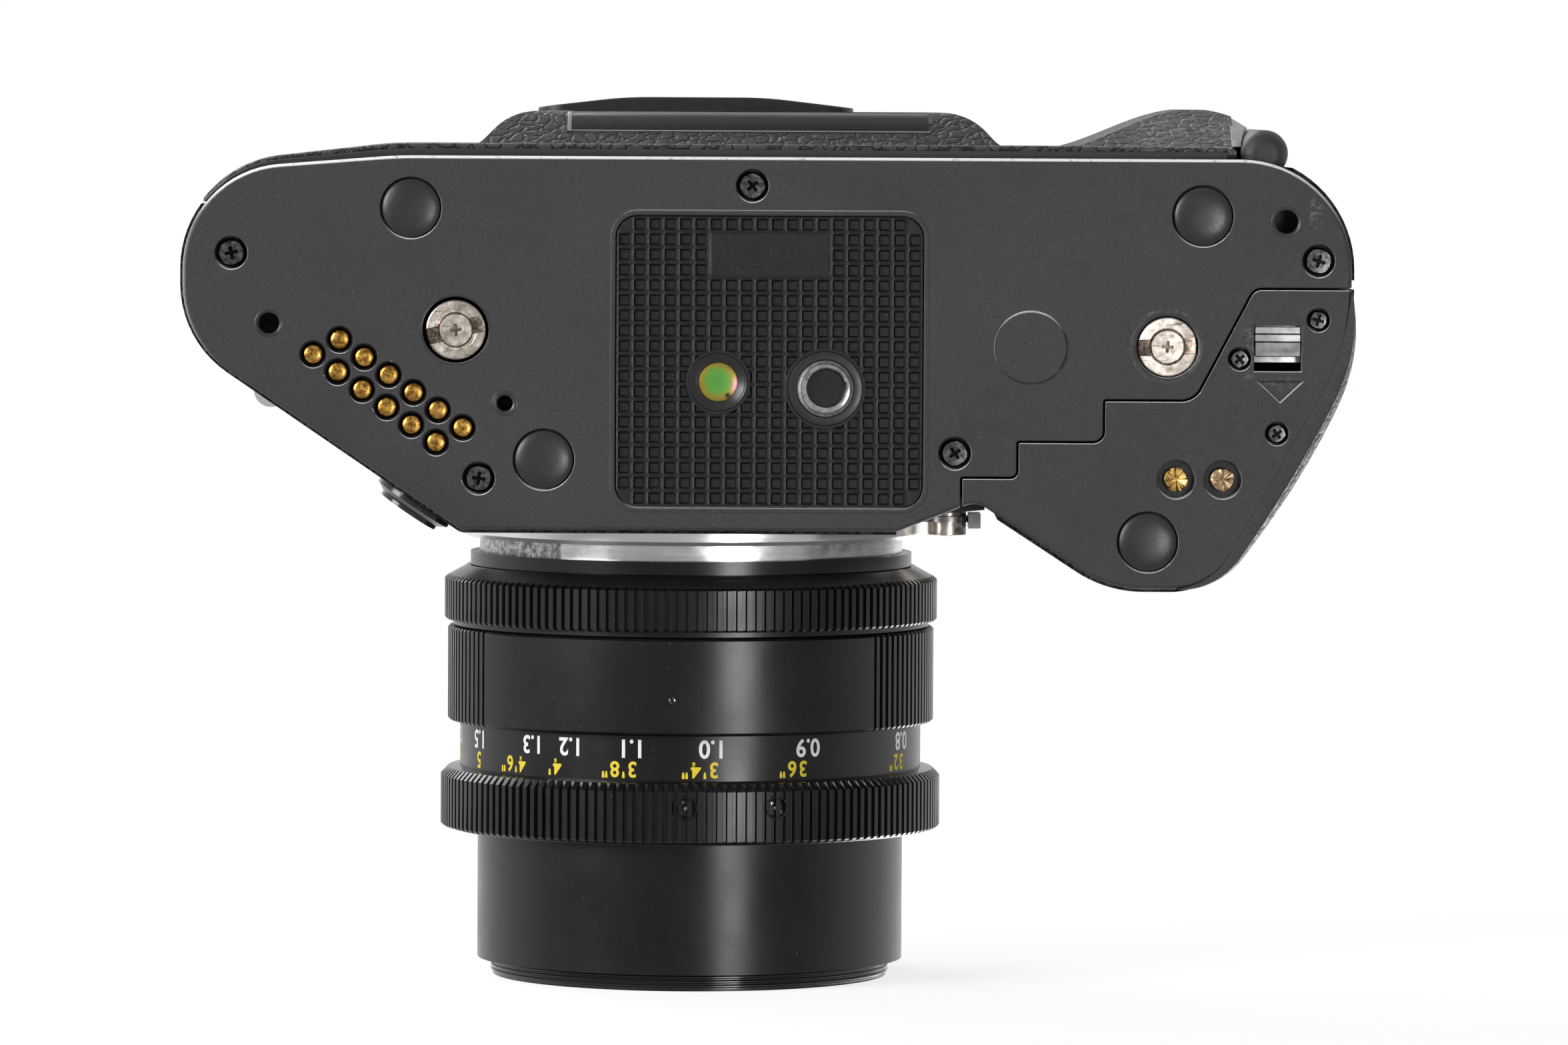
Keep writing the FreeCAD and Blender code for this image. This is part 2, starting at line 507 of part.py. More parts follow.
def base_fittings():
    pad = raised(pad_face(S.pad_gap), 0, S.pad_thick)
    formed("base_pad", drilled(
        pad, post(0, 0, -1, S.base_thick, S.socket_rim_r + S.fit_gap),
        post(S.locate_x, S.locate_y, -1, S.base_thick, S.locate_rim_r + S.fit_gap)))
    foot_profile = [
        (0, -S.foot_drop), (S.foot_r * 0.7, -S.foot_drop * 0.8), (S.foot_r, 0),
        (S.foot_r, S.foot_seat), (0, S.foot_seat)]
    foot = turned("foot", foot_profile, (0, 0, 0), upright=True, keep=False)
    doc.recompute()
    copies("feet", foot, FEET)
    copies("grip_foot", foot, [(S.grip_foot_x, S.grip_foot_y)])
    for label, places, radius in (("base_screws", LARGE_SCREWS, S.screw_r),
                                  ("grip_screws", SMALL_SCREWS, S.small_screw_r)):
        seat, shank = S.screw_seat, radius * 0.55
        profile = [(0, S.screw_sink), (radius, S.screw_sink), (radius, seat), (shank, seat),
                   (shank, S.base_thick + S.fit_gap), (0, S.base_thick + S.fit_gap)]
        screw = turned(label, profile, (0, 0, 0), upright=True, keep=False)
        doc.recompute()
        copies(label, screw, places)
    turned("tripod_socket", [
        (S.socket_hole_r, S.socket_long), (S.socket_hole_r, 0), (S.socket_rim_r, 0),
        (S.socket_rim_r, S.chassis_low_z), (0, S.chassis_low_z), (0, S.socket_long)],
        (0, 0, 0), upright=True)
    turned("locating_insert", [
        (S.locate_hole_r, S.locate_deep), (S.locate_hole_r, S.locate_sink),
        (S.locate_rim_r, S.locate_sink), (S.locate_rim_r, S.base_thick), (0, S.base_thick),
        (0, S.locate_deep)],
        (S.locate_x, S.locate_y, 0), upright=True)


def copies(label, source, places):
    """Copies of one turned piece at several (x, y) places, as one named group of solids."""
    shapes = []
    for x, y in places:
        shape = source.Shape.copy()
        shape.translate(Vector(x, y, 0))
        shapes.append(shape)
    formed(label, Part.makeCompound(shapes))


def contact_row():
    turned_pin = turned("contact_pin", [
        (0, S.pin_sink), (S.pin_r, S.pin_sink), (S.pin_r, S.base_thick + S.fit_gap),
        (0, S.base_thick + S.fit_gap)],
        (0, 0, 0), upright=True, keep=False)
    doc.recompute()
    copies("contact_pins", turned_pin, PINS)
    middle = Vector(0, 0, 0)
    for x, y in PINS:
        middle += Vector(x, y, 0) * (1 / len(PINS))
    steps = len(PINS) // 2 - 1
    long = math.hypot(S.pin_step_x, S.pin_step_y) * steps + 2 * S.pin_block_over
    slab = Part.makeBox(long, S.pin_block_wide, S.pin_block_thick,
                        Vector(-long / 2, -S.pin_block_wide / 2, 0))
    slab.rotate(Vector(0, 0, 0), Vector(0, 0, 1),
                math.degrees(math.atan2(S.pin_step_y, S.pin_step_x)))
    slab.translate(middle + Vector(0, 0, S.base_thick + S.fit_gap))
    formed("contact_block", slab)


def root_plan(inset):
    """The body's plan without the battery grip, drawn in from the outline."""
    face = body_face(-inset).cut(grip_side(S.part_gap / 2 + inset - S.shell_inset))
    return face.Faces[0]


def door_space(z0, z1, gap):
    return block(S.door_right_x - gap, FAR, S.door_front_y - gap, FAR, z0, z1)


def release_seat():
    """How far back the release button's head comes when it is pressed."""
    return S.release_front_y + S.release_head + S.release_travel


def body_shell():
    low, high = S.base_thick, S.waist_z
    skin = raised(root_plan(S.shell_inset), low, high)
    hollow = raised(root_plan(S.shell_inset + S.wall), low - 1, high + 1)
    behind = door_space(low - 1, high + 1, S.move_gap)
    mount_hole = bar_y(S.axis_x, S.axis_z, -FAR / 4, 0, S.mount_spigot_r + S.fit_gap)
    release_hole = joined(
        bar_y(S.release_x, S.release_z, -FAR / 4, release_seat() + S.fit_gap,
              S.release_r + S.move_gap),
        bar_y(S.release_x, S.release_z, -FAR / 4, 0, S.release_stem_r + S.shaft_gap))
    knuckle_low = low + S.knuckle_long + S.move_gap
    knuckle_high = high - S.knuckle_long - S.move_gap
    ends = [post(S.hinge_x, S.hinge_y, z0, z1, S.knuckle_r + S.move_gap)
            for z0, z1 in ((low - 1, knuckle_low), (knuckle_high, high + 1))]
    ends += [block(S.hinge_x, S.door_right_x, S.hinge_y - S.web_half - S.move_gap, FAR, z0, z1)
             for z0, z1 in ((low - 1, knuckle_low), (knuckle_high, high + 1))]
    shell = drilled(skin, hollow, behind, *ends)
    knuckle = post(S.hinge_x, S.hinge_y, knuckle_low, knuckle_high, S.knuckle_r)
    knuckle = knuckle.cut(hollow)
    inner_x = S.front_right_x - 0.6
    side_panel = raised(outline([
        (inner_x, S.front_y + S.shell_inset + 0.1, 0), (S.panel_edge_x, S.panel_edge_y, 0),
        (S.panel_edge_x, S.panel_edge_y + S.panel_wall, 0), (S.part_edge_x + 0.5, S.throat_y - 1.0, 0),
        (S.part_edge_x + 3, S.throat_y - 1.0, 0)]), S.panel_low, S.panel_high)
    shell = joined(shell, knuckle, side_panel)
    bore = post(S.hinge_x, S.hinge_y, low - 1, high + 1, S.hinge_pin_r)
    formed("body_shell", drilled(shell, bore, mount_hole, release_hole))
    band = raised(body_face(S.leather_thick - S.shell_inset), S.leather_low_z, S.leather_high_z)
    band = drilled(
        band, raised(body_face(-S.shell_inset), 0, high),
        raised(grip_side(S.part_gap / 2 + S.leather_thick), 0, high),
        door_space(0, high, S.move_gap),
        bar_y(S.axis_x, S.axis_z, -FAR / 4, 0, S.mount_r + 0.5),
        block(S.panel_edge_x, S.front_right_x, -FAR, 0, 0, high))
    left = band.common(block(S.front_right_x, FAR, -FAR, FAR, 0, high))
    right = band.common(block(-FAR, S.hinge_x - S.knuckle_r - 0.6, 0, FAR, 0, high))
    cap_seat, away = slanted_front(S.cap_along, -S.wall, S.cap_z)
    cap_room = Part.makeCylinder(S.cap_neck_r + S.move_gap, S.cap_r, cap_seat, away)
    formed("body_leather", Part.makeCompound([left.cut(cap_room), right]))
    pin_top = high - S.fit_gap
    formed("door_hinge_pin", post(
        S.hinge_x, S.hinge_y, low + S.knuckle_floor + 2 * S.move_gap, pin_top, S.hinge_pin_r))


def chassis():
    """The die casting: chambers for cartridge and spool, the film gate, rails and bearings."""
    low, high = S.chassis_low_z, S.chassis_top_z
    back = S.film_y - S.rail_high
    plan = root_plan(S.shell_inset + S.wall + S.fit_gap)
    whole = raised(plan, low, high)
    rear = whole.common(block(-FAR, FAR, -3, back, low, high))
    front = whole.common(block(
        S.axis_x - S.box_half - S.cast_side, S.axis_x + S.box_half + S.cast_side, S.box_front_y,
        0, low, high))
    half = S.gate_wide / 2
    gate_low, gate_high = S.axis_z - S.gate_high / 2, S.axis_z + S.gate_high / 2
    room = S.box_half + S.fit_gap
    film_low, film_high = S.film_low_z, S.film_high_z
    floor, roof = low + S.chamber_wall, high - S.chamber_roof
    rail_from, rail_to = S.sprocket_x + S.sprocket_room_r, S.rewind_x - S.cartridge_r
    rails = [block(rail_from, rail_to, back, S.film_y, z0, z1)
             for z0, z1 in (
                 (gate_low - 1 - S.rail_wide, gate_low - 1),
                 (gate_high + 1, gate_high + 1 + S.rail_wide),
                 (film_low - S.move_gap - S.guide_wide, film_low - S.move_gap),
                 (film_high + S.move_gap, film_high + S.move_gap + S.guide_wide))]
    shutter_front = S.box_back_y + S.fit_gap
    shutter_back = shutter_front + S.shutter_thick + S.fit_gap
    tools = [
        block(S.axis_x - room, S.axis_x + room, -FAR, S.box_back_y + S.fit_gap,
              S.box_low_z - S.fit_gap, high + 1),
        block(S.axis_x - room, S.axis_x + room, shutter_front - 1, shutter_back, low - 1, high + 1),
        block(S.axis_x - half, S.axis_x + half, 0, FAR, gate_low, gate_high),
        post(S.rewind_x, S.rewind_y + S.cartridge_back, floor, roof, S.cartridge_r),
        block(S.rewind_x - S.cartridge_r, S.rewind_x + S.cartridge_r,
              S.rewind_y + S.cartridge_back, FAR, floor, roof),
        post(S.spool_x, S.spool_y, floor, roof, S.spool_room_r),
        block(S.spool_x - S.spool_room_r, S.spool_x + S.spool_room_r, S.spool_y, FAR, floor, roof),
        post(S.sprocket_x, SPROCKET_Y, floor, roof, S.sprocket_room_r),
        block(S.sprocket_x - S.sprocket_room_r, S.sprocket_x + S.sprocket_room_r, SPROCKET_Y,
              FAR, floor, roof),
        post(S.wind_x, S.wind_y, low - 1, high + 1, S.wind_r + S.shaft_gap),
        post(S.rewind_x, S.rewind_y, low - 1, low + 4, S.coupling_r + S.move_gap),
        post(S.rewind_x, S.rewind_y, roof - 1, high + 1, S.rewind_r + S.shaft_gap),
        post(S.spool_x, S.spool_y, low - 1, high + 1, S.rewind_r + S.shaft_gap),
        post(S.sprocket_x, SPROCKET_Y, low - 1, high + 1, S.rewind_r + S.shaft_gap),
    ]
    formed("film_chassis", drilled(joined(rear, front, *rails), *tools))


def film_transport():
    low, high = S.chassis_low_z + S.move_gap, S.chassis_top_z
    film_low, film_high = S.film_low_z, S.film_high_z
    flange = S.spool_flange
    turned("take_up_spool", [
        (0, low), (S.rewind_r, low), (S.rewind_r, film_low - 1 - flange),
        (S.spool_flange_r, film_low - 1 - flange), (S.spool_flange_r, film_low - 1),
        (S.spool_r, film_low - 1), (S.spool_r, film_high + 1), (S.spool_flange_r, film_high + 1),
        (S.spool_flange_r, film_high + 1 + flange), (S.rewind_r, film_high + 1 + flange),
        (S.rewind_r, high), (0, high)], (S.spool_x, S.spool_y, 0), upright=True)
    teeth = []
    count = int(S.sprocket_teeth)
    for step in range(count):
        for z in (film_low + S.tooth_in, film_high - S.tooth_in - S.tooth_high):
            tooth = block(SPROCKET_R - 1, SPROCKET_R + S.sprocket_tooth, -S.tooth_wide / 2,
                          S.tooth_wide / 2, z, z + S.tooth_high)
            tooth.rotate(Vector(0, 0, 0), Vector(0, 0, 1), 360 * step / count)
            teeth.append(tooth)
    drum = joined(post(0, 0, film_low - 2, film_high + 2, SPROCKET_R),
                  post(0, 0, low, high, S.rewind_r), *teeth)
    drum.translate(Vector(S.sprocket_x, SPROCKET_Y, 0))
    formed("sprocket", drum)
    shaft = joined(
        keyed_head(S.wind_head_r, S.base_thick + 1),
        post(0, 0, S.base_thick, S.deck_z + S.advance_lift, S.wind_r))
    shaft.translate(Vector(S.wind_x, S.wind_y, 0))
    formed("wind_shaft", shaft)
    neck = S.base_thick + S.coupling_long
    dog = joined(keyed_head(S.coupling_r, neck), post(0, 0, neck, S.coupling_top_z, S.rewind_r))
    dog.rotate(Vector(0, 0, 0), Vector(0, 0, 1), S.key_turn)
    dog.translate(Vector(S.rewind_x, S.rewind_y, 0))
    formed("rewind_coupling", dog)


def keyed_head(radius, top):
    """A round coupling head whose key slot is broken by a round stud in its middle."""
    low = S.coupling_sink
    slot = block(-radius - 1, radius + 1, -S.key_wide / 2, S.key_wide / 2, low - 1, low + S.key_deep)
    stud = post(0, 0, low - 1, low + S.key_deep, S.key_stud_r)
    return post(0, 0, low, top, radius).cut(slot.cut(stud))


def mirror_and_shutter():
    half, low, high = S.box_half, S.box_low_z, S.box_top_z
    front, back, wall = S.box_front_y, S.box_back_y, S.box_wall
    outer = block(S.axis_x - half, S.axis_x + half, front, back, low, high)
    inner = block(S.axis_x - half + wall, S.axis_x + half - wall, front - 1, back + 1,
                  low + wall, high + 1)
    pin = Part.makeCylinder(S.mirror_pin_r + S.shaft_gap, 3 * half,
                            Vector(S.axis_x - 1.5 * half, S.mirror_pivot_y, S.mirror_pivot_z),
                            Vector(1, 0, 0))
    formed("mirror_box", drilled(outer, inner, pin))
    glass = prim_box("mirror_blank", (S.axis_x - S.mirror_half, 0 - S.mirror_start - S.mirror_long,
                                      -S.mirror_thick / 2),
                     (S.axis_x + S.mirror_half, 0 - S.mirror_start, S.mirror_thick / 2))
    doc.recompute()
    plate = glass.Shape.copy()
    arms = [block(S.axis_x + side - S.mirror_arm / 2, S.axis_x + side + S.mirror_arm / 2,
                  -2 * S.mirror_start, S.mirror_pin_r / 2, -S.mirror_thick, S.mirror_thick / 2)
            for side in (-S.mirror_half + S.mirror_arm, S.mirror_half - S.mirror_arm)]
    axle_half = S.box_half - S.move_gap
    axle = Part.makeCylinder(S.mirror_pin_r, 2 * axle_half, Vector(S.axis_x - axle_half, 0, 0),
                             Vector(1, 0, 0))
    swing = joined(plate, axle, *arms)
    swing.rotate(Vector(0, 0, 0), Vector(1, 0, 0), 45)
    swing.translate(Vector(0, S.mirror_pivot_y, S.mirror_pivot_z))
    formed("reflex_mirror", swing)
    y0 = S.box_back_y + S.fit_gap
    y1 = y0 + S.shutter_thick
    gate = (S.gate_wide / 2, S.gate_high / 2)
    frame_low = S.base_thick + S.fit_gap
    frame = block(S.axis_x - half, S.axis_x + half, y0, y1, frame_low, S.box_top_z - S.move_gap)
    window = block(S.axis_x - gate[0], S.axis_x + gate[0], y0 - 1, y1 + 1,
                   S.axis_z - gate[1], S.axis_z + gate[1])
    middle = (y0 + y1) / 2
    slot_half = gate[0] + S.curtain_over + S.fit_gap
    top = S.axis_z + S.curtain_high / 2
    slot = block(S.axis_x - slot_half, S.axis_x + slot_half, middle - S.curtain_thick,
                 middle + S.curtain_thick, frame_low + S.fit_gap, top + 2 * S.fit_gap)
    formed("shutter_frame", drilled(frame, window, slot))
    node(prim_box("shutter_curtain", (
        S.axis_x - S.gate_wide / 2 - S.curtain_over,
        S.box_back_y + S.fit_gap + S.shutter_thick / 2 - S.curtain_thick / 2,
        S.axis_z - S.curtain_high / 2), (
        S.axis_x + S.gate_wide / 2 + S.curtain_over,
        S.box_back_y + S.fit_gap + S.shutter_thick / 2 + S.curtain_thick / 2,
        S.axis_z + S.curtain_high / 2)), "shutter_curtain")
    screen_mid = S.film_y - (S.box_top_z - S.axis_z)
    node(prim_box("focusing_screen", (
        S.axis_x - S.screen_half, screen_mid - S.screen_long / 2, S.box_top_z), (
        S.axis_x + S.screen_half, screen_mid + S.screen_long / 2,
        S.box_top_z + S.screen_thick)), "focusing_screen")
    low, high = S.prism_low_z, S.prism_top_z
    front, back = S.prism_front_y, S.prism_back_y
    tall, deep = high - low, back - front
    side = along_x([
        (front, low, 0), (back, low, 0), (back, high - tall * 0.4, 0), (back - deep * 0.3, high, 0),
        (front + deep * 0.17, high - tall * 0.3, 0), (front - deep * 0.03, low + tall * 0.3, 0)],
        S.axis_x - S.prism_half, S.axis_x + S.prism_half)
    roof = along_y([
        (S.axis_x - S.prism_half, low, 0), (S.axis_x + S.prism_half, low, 0),
        (S.axis_x + S.prism_half, high - tall * 0.46, 0), (S.axis_x, high, 0),
        (S.axis_x - S.prism_half, high - tall * 0.46, 0)], -FAR, FAR)
    formed("pentaprism", side.common(roof))


def ribbed(outer, root, count, y0, y1, bore, plain_half=0.0):
    """A ring whose rim is cut into ribs, plain for plain_half degrees each side of the bottom."""
    points = []
    for step in range(count):
        angle = 360.0 * step / count
        away = abs((angle - 270 + 180) % 360 - 180)
        low = outer if away < plain_half else root
        for part, radius in ((0.0, outer), (0.5, outer), (0.5, low), (1.0, low)):
            turn = math.radians(angle + part * 360.0 / count)
            point = Vector(radius * math.cos(turn), 0, radius * math.sin(turn))
            if not points or points[-1].distanceToPoint(point) > 1e-6:
                points.append(point)
    if points[-1].distanceToPoint(points[0]) < 1e-6:
        points.pop()
    blank = Part.Face(Part.makePolygon(points + [points[0]])).extrude(Vector(0, y1 - y0, 0))
    hole = Part.makeCylinder(bore, y1 - y0 + 2, Vector(0, -1, 0), Vector(0, 1, 0))
    ring = blank.cut(hole)
    ring.translate(Vector(S.axis_x, y0, S.axis_z))
    return ring


def lens():
    centre = (S.axis_x, 0, S.axis_z)
    gap = S.ring_gap
    turned("mount_ring", [
        (S.mount_bore_r, S.front_y + S.shell_inset + S.mount_spigot),
        (S.mount_spigot_r, S.front_y + S.shell_inset + S.mount_spigot),
        (S.mount_spigot_r, S.front_y + S.shell_inset), (S.mount_r, S.front_y + S.shell_inset),
        (S.mount_r, S.flange_y + S.rib_deep), (S.mount_r - S.rib_deep, S.flange_y),
        (S.mount_bore_r, S.flange_y)],
        centre)
    seat = S.flange_y - gap / 2
    turned("lens_bayonet", [
        (S.bayonet_bore_r, seat + S.bayonet_long), (S.bayonet_spigot_r, seat + S.bayonet_long),
        (S.bayonet_spigot_r, seat), (S.bayonet_r, seat), (S.bayonet_r, S.bayonet_front_y),
        (S.bayonet_bore_r, S.bayonet_front_y)], centre)
    turned("lens_barrel", [
        (S.bayonet_bore_r, S.bayonet_front_y), (S.rear_flange_r, S.bayonet_front_y),
        (S.rear_flange_r, S.rear_flange_y), (S.tube_r, S.rear_flange_y),
        (S.tube_r, S.tube_front_y), (S.tube_bore_r, S.tube_front_y),
        (S.tube_bore_r, S.rear_flange_y - S.fit_gap), (S.bayonet_bore_r, S.rear_flange_y - S.fit_gap)],
        centre)
    count = int(S.rib_count)
    bore = S.tube_r + S.move_gap
    root = S.stop_ring_r - S.rib_deep
    cone = turned("aperture_cone", [
        (bore, S.rear_flange_y - gap), (S.rear_flange_r + S.rib_deep, S.rear_flange_y - gap),
        (root, S.stop_cone_y), (root, S.stop_rib_y), (S.stop_neck_r, S.stop_rib_y),
        (S.stop_neck_r, S.stop_front_y), (bore, S.stop_front_y)], centre, keep=False)
    doc.recompute()
    ribs = ribbed(S.stop_ring_r, root, count, S.stop_rib_y, S.stop_cone_y, bore)
    formed("aperture_ring", joined(cone.Shape, ribs))
    fixed = ribbed(S.fixed_r, S.fixed_r - S.rib_deep, count, S.fixed_front_y, S.stop_front_y - gap,
                   S.tube_r, plain_half=S.fixed_smooth_deg)
    formed("lens_fixed_ring", fixed)
    root = S.focus_r - S.rib_deep
    scale = turned("focus_core", [
        (bore, S.fixed_front_y - gap), (S.scale_r, S.fixed_front_y - gap),
        (S.scale_r, S.scale_front_y), (root, S.focus_rib_y + S.fit_gap), (root, S.focus_front_y),
        (bore, S.focus_front_y)], centre, keep=False)
    doc.recompute()
    ribs = ribbed(S.focus_r, root, count, S.focus_front_y + S.fit_gap, S.focus_rib_y, bore)
    formed("focus_ring", joined(scale.Shape, ribs))
    rear = S.rear_flange_y - S.fit_gap - S.move_gap
    glass_front = S.front_glass_y + S.front_glass_thick
    turned("focus_barrel", [
        (S.rear_glass_r, rear), (S.front_tube_r, rear), (S.front_tube_r, S.hood_front_y),
        (S.front_rim_r, S.hood_front_y), (S.front_rim_r, S.rim_front_y),
        (S.filter_r, S.rim_front_y), (S.filter_r, S.rim_front_y + S.filter_long),
        (S.filter_r - S.hood_wall, S.rim_front_y + S.filter_long),
        (S.front_glass_r, S.front_glass_y - S.hood_wall), (S.front_glass_r, glass_front),
        (S.rear_glass_r, glass_front)], centre)
    turned("hood", [
        (S.hood_bore_r, S.focus_front_y - S.move_gap), (S.hood_r, S.focus_front_y - S.move_gap),
        (S.hood_r, S.hood_front_y), (S.hood_bore_r, S.hood_front_y)], centre)
    lens_glass("front_glass", S.front_glass_r, S.front_glass_y, S.front_glass_thick, S.front_crown)
    lens_glass("rear_glass", S.rear_glass_r, S.rear_glass_y - S.rear_glass_thick,
               S.rear_glass_thick, S.rear_crown)
    turned("iris_unit", [
        (S.iris_open_r, S.iris_y), (S.rear_glass_r, S.iris_y),
        (S.rear_glass_r, S.iris_y + S.iris_thick),
        (S.rear_glass_r - 1, S.iris_y + S.iris_thick), (S.rear_glass_r - 1, S.iris_y + S.iris_leaf),
        (S.iris_open_r, S.iris_y + S.iris_leaf)], centre)


def lens_glass(label, radius, front_y, thick, crown):
    """An element bulged forward by its crown, with a flat rear face and a ground rim."""
    rim = front_y + crown
    back = front_y + thick
    turned(label, [
        (0, front_y), (radius * 0.6, front_y + crown * 0.36), (radius, rim), (radius, back),
        (0, back)], (S.axis_x, 0, S.axis_z))


def mount_controls():
    x, z = S.release_x, S.release_z
    start = S.release_front_y
    head = joined(bar_y(x, z, start, start + S.release_head, S.release_r),
                  bar_y(x, z, start, start + S.release_head + S.release_stem, S.release_stem_r))
    dome = Part.makeSphere(S.release_r * 1.3, Vector(x, start + S.release_r * 1.2, z))
    tip = dome.common(bar_y(x, z, start - 1, start + 1, S.release_r / 3))
    formed("lens_release", joined(head, tip))
    front = S.lever_front_y + S.lever_thick
    back = front + S.lever_thick
    ring = bar_y(x, z, front, back, S.lever_ring_r)
    paddle = block(S.lever_x - S.lever_wide / 2, S.lever_x + S.lever_wide / 2, S.lever_front_y,
                   S.panel_edge_y - S.lever_clear, z - S.lever_high / 2, z + S.lever_high / 2)
    web = block(S.lever_x, x, front, back, z - S.lever_high / 5, z + S.lever_high / 5)
    bore = bar_y(x, z, front - 1, back + 1, S.release_r + S.move_gap)
    formed("stop_down_lever", joined(ring, paddle, web).cut(bore))
    seat, away = slanted_front(S.cap_along, -S.shell_inset, S.cap_z)
    wall = seat + away * S.cap_neck
    dome = wall + away * S.cap_wall
    crown = dome + away * S.cap_dome
    formed("sync_cap", joined(
        Part.makeCylinder(S.cap_neck_r, S.cap_neck, seat, away),
        Part.makeCylinder(S.cap_r, S.cap_wall, wall, away),
        Part.makeCone(S.cap_r, S.cap_crown_r, S.cap_dome, dome, away),
        Part.makeCylinder(S.cap_crown_r, S.cap_crown, crown, away)))


def deck_form(inset):
    """Shoulders and finder housing of the top cover, drawn in by the inset on every outer side."""
    low = S.waist_z if inset <= 0 else S.waist_z - 1
    deck = S.deck_z - inset
    plan = raised(body_face(-S.shell_inset - inset), low, deck)
    ends = along_y([
        (S.right_x + inset, low, 0), (S.right_x + inset + 0.8, deck, S.deck_end_r),
        (S.left_x - inset - 3.0, deck, S.deck_end_r), (S.left_x - inset, low, 0)], -FAR, FAR)
    sides = along_x([
        (S.nose_y + inset, low, 0), (S.nose_y + inset + 1, deck, S.deck_front_r),
        (S.back_y - inset, deck, S.deck_back_r), (S.back_y - inset, low, 0)], -FAR, FAR)
    shoulders = plan.common(ends).common(sides)
    sections = []
    for z, half, front, back in (
            (S.deck_z - S.hump_foot, S.hump_half, S.hump_front_y, S.hump_back_y),
            (S.deck_z + S.hump_waist, S.hump_half - 1, S.hump_front_y + 1.5, S.hump_back_y - 0.5),
            (S.roof_z - inset, S.hump_top_half, S.hump_top_front_y, S.hump_top_back_y)):
        x0, x1 = S.axis_x - half + inset, S.axis_x + half - inset
        y0, y1 = front + inset, back - inset
        cut = S.hump_cut
        corners = [(x1 - cut, y0), (x1, y0 + cut), (x1, y1 - cut), (x1 - cut, y1), (x0 + cut, y1),
                   (x0, y1 - cut), (x0, y0 + cut), (x0 + cut, y0)]
        points = [Vector(float(a), float(b), float(z)) for a, b in corners]
        sections.append(Part.makePolygon(points + points[:1]))
    hump = Part.makeLoft(sections, True, True)
    return shoulders, hump


def top_cover():
    shoulders, hump = deck_form(0)
    hollow, hump_hollow = deck_form(S.wall)
    collar = post(S.button_x, S.button_y, S.deck_z - 1, S.deck_z + 1, S.button_collar_r)
    middle = (S.eye_low_z + S.eye_high_z) / 2
    tools = [
        hollow, hump_hollow,
        bar_y(S.axis_x, S.axis_z, -FAR / 4, 0, S.mount_spigot_r + S.fit_gap),
        Part.makeCylinder(S.lug_post_r, S.lug_in + 2, Vector(S.right_x + S.lug_in, S.lug_y, S.lug_z),
                          Vector(-1, 0, 0)),
        Part.makeCylinder(S.lug_post_r, S.lug_in + 2, *left_lug_seat()),
        post(S.button_x, S.button_y, S.deck_z - S.dial_stem, FAR, S.button_r + S.move_gap),
        post(S.wind_x, S.wind_y, S.waist_z, FAR, S.wind_r + S.shaft_gap),
        post(S.rewind_x, S.rewind_y, S.waist_z, FAR, S.rewind_r + S.shaft_gap),
        post(S.speed_x, S.speed_y, S.waist_z, S.deck_z + 1, S.rewind_r + S.shaft_gap),
        post(S.mode_x, S.mode_y, S.waist_z, S.deck_z + 1, S.rewind_r + S.shaft_gap),
        block(S.axis_x - S.eye_window_half, S.axis_x + S.eye_window_half, S.prism_back_y, FAR,
              middle - S.eye_window_high / 2, middle + S.eye_window_high / 2),
        block(S.axis_x - S.eye_half - S.fit_gap, S.axis_x + S.eye_half + S.fit_gap,
              S.hump_back_y + S.fit_gap, FAR, S.eye_low_z - S.fit_gap, S.eye_high_z),
    ]
    formed("top_cover", drilled(joined(shoulders, hump, collar), *tools))


def left_lug_seat():
    """Where the left lug's post starts, inside the shell, and the way it points."""
    return slanted_front(S.lug_along, -S.lug_in, S.lug_z)


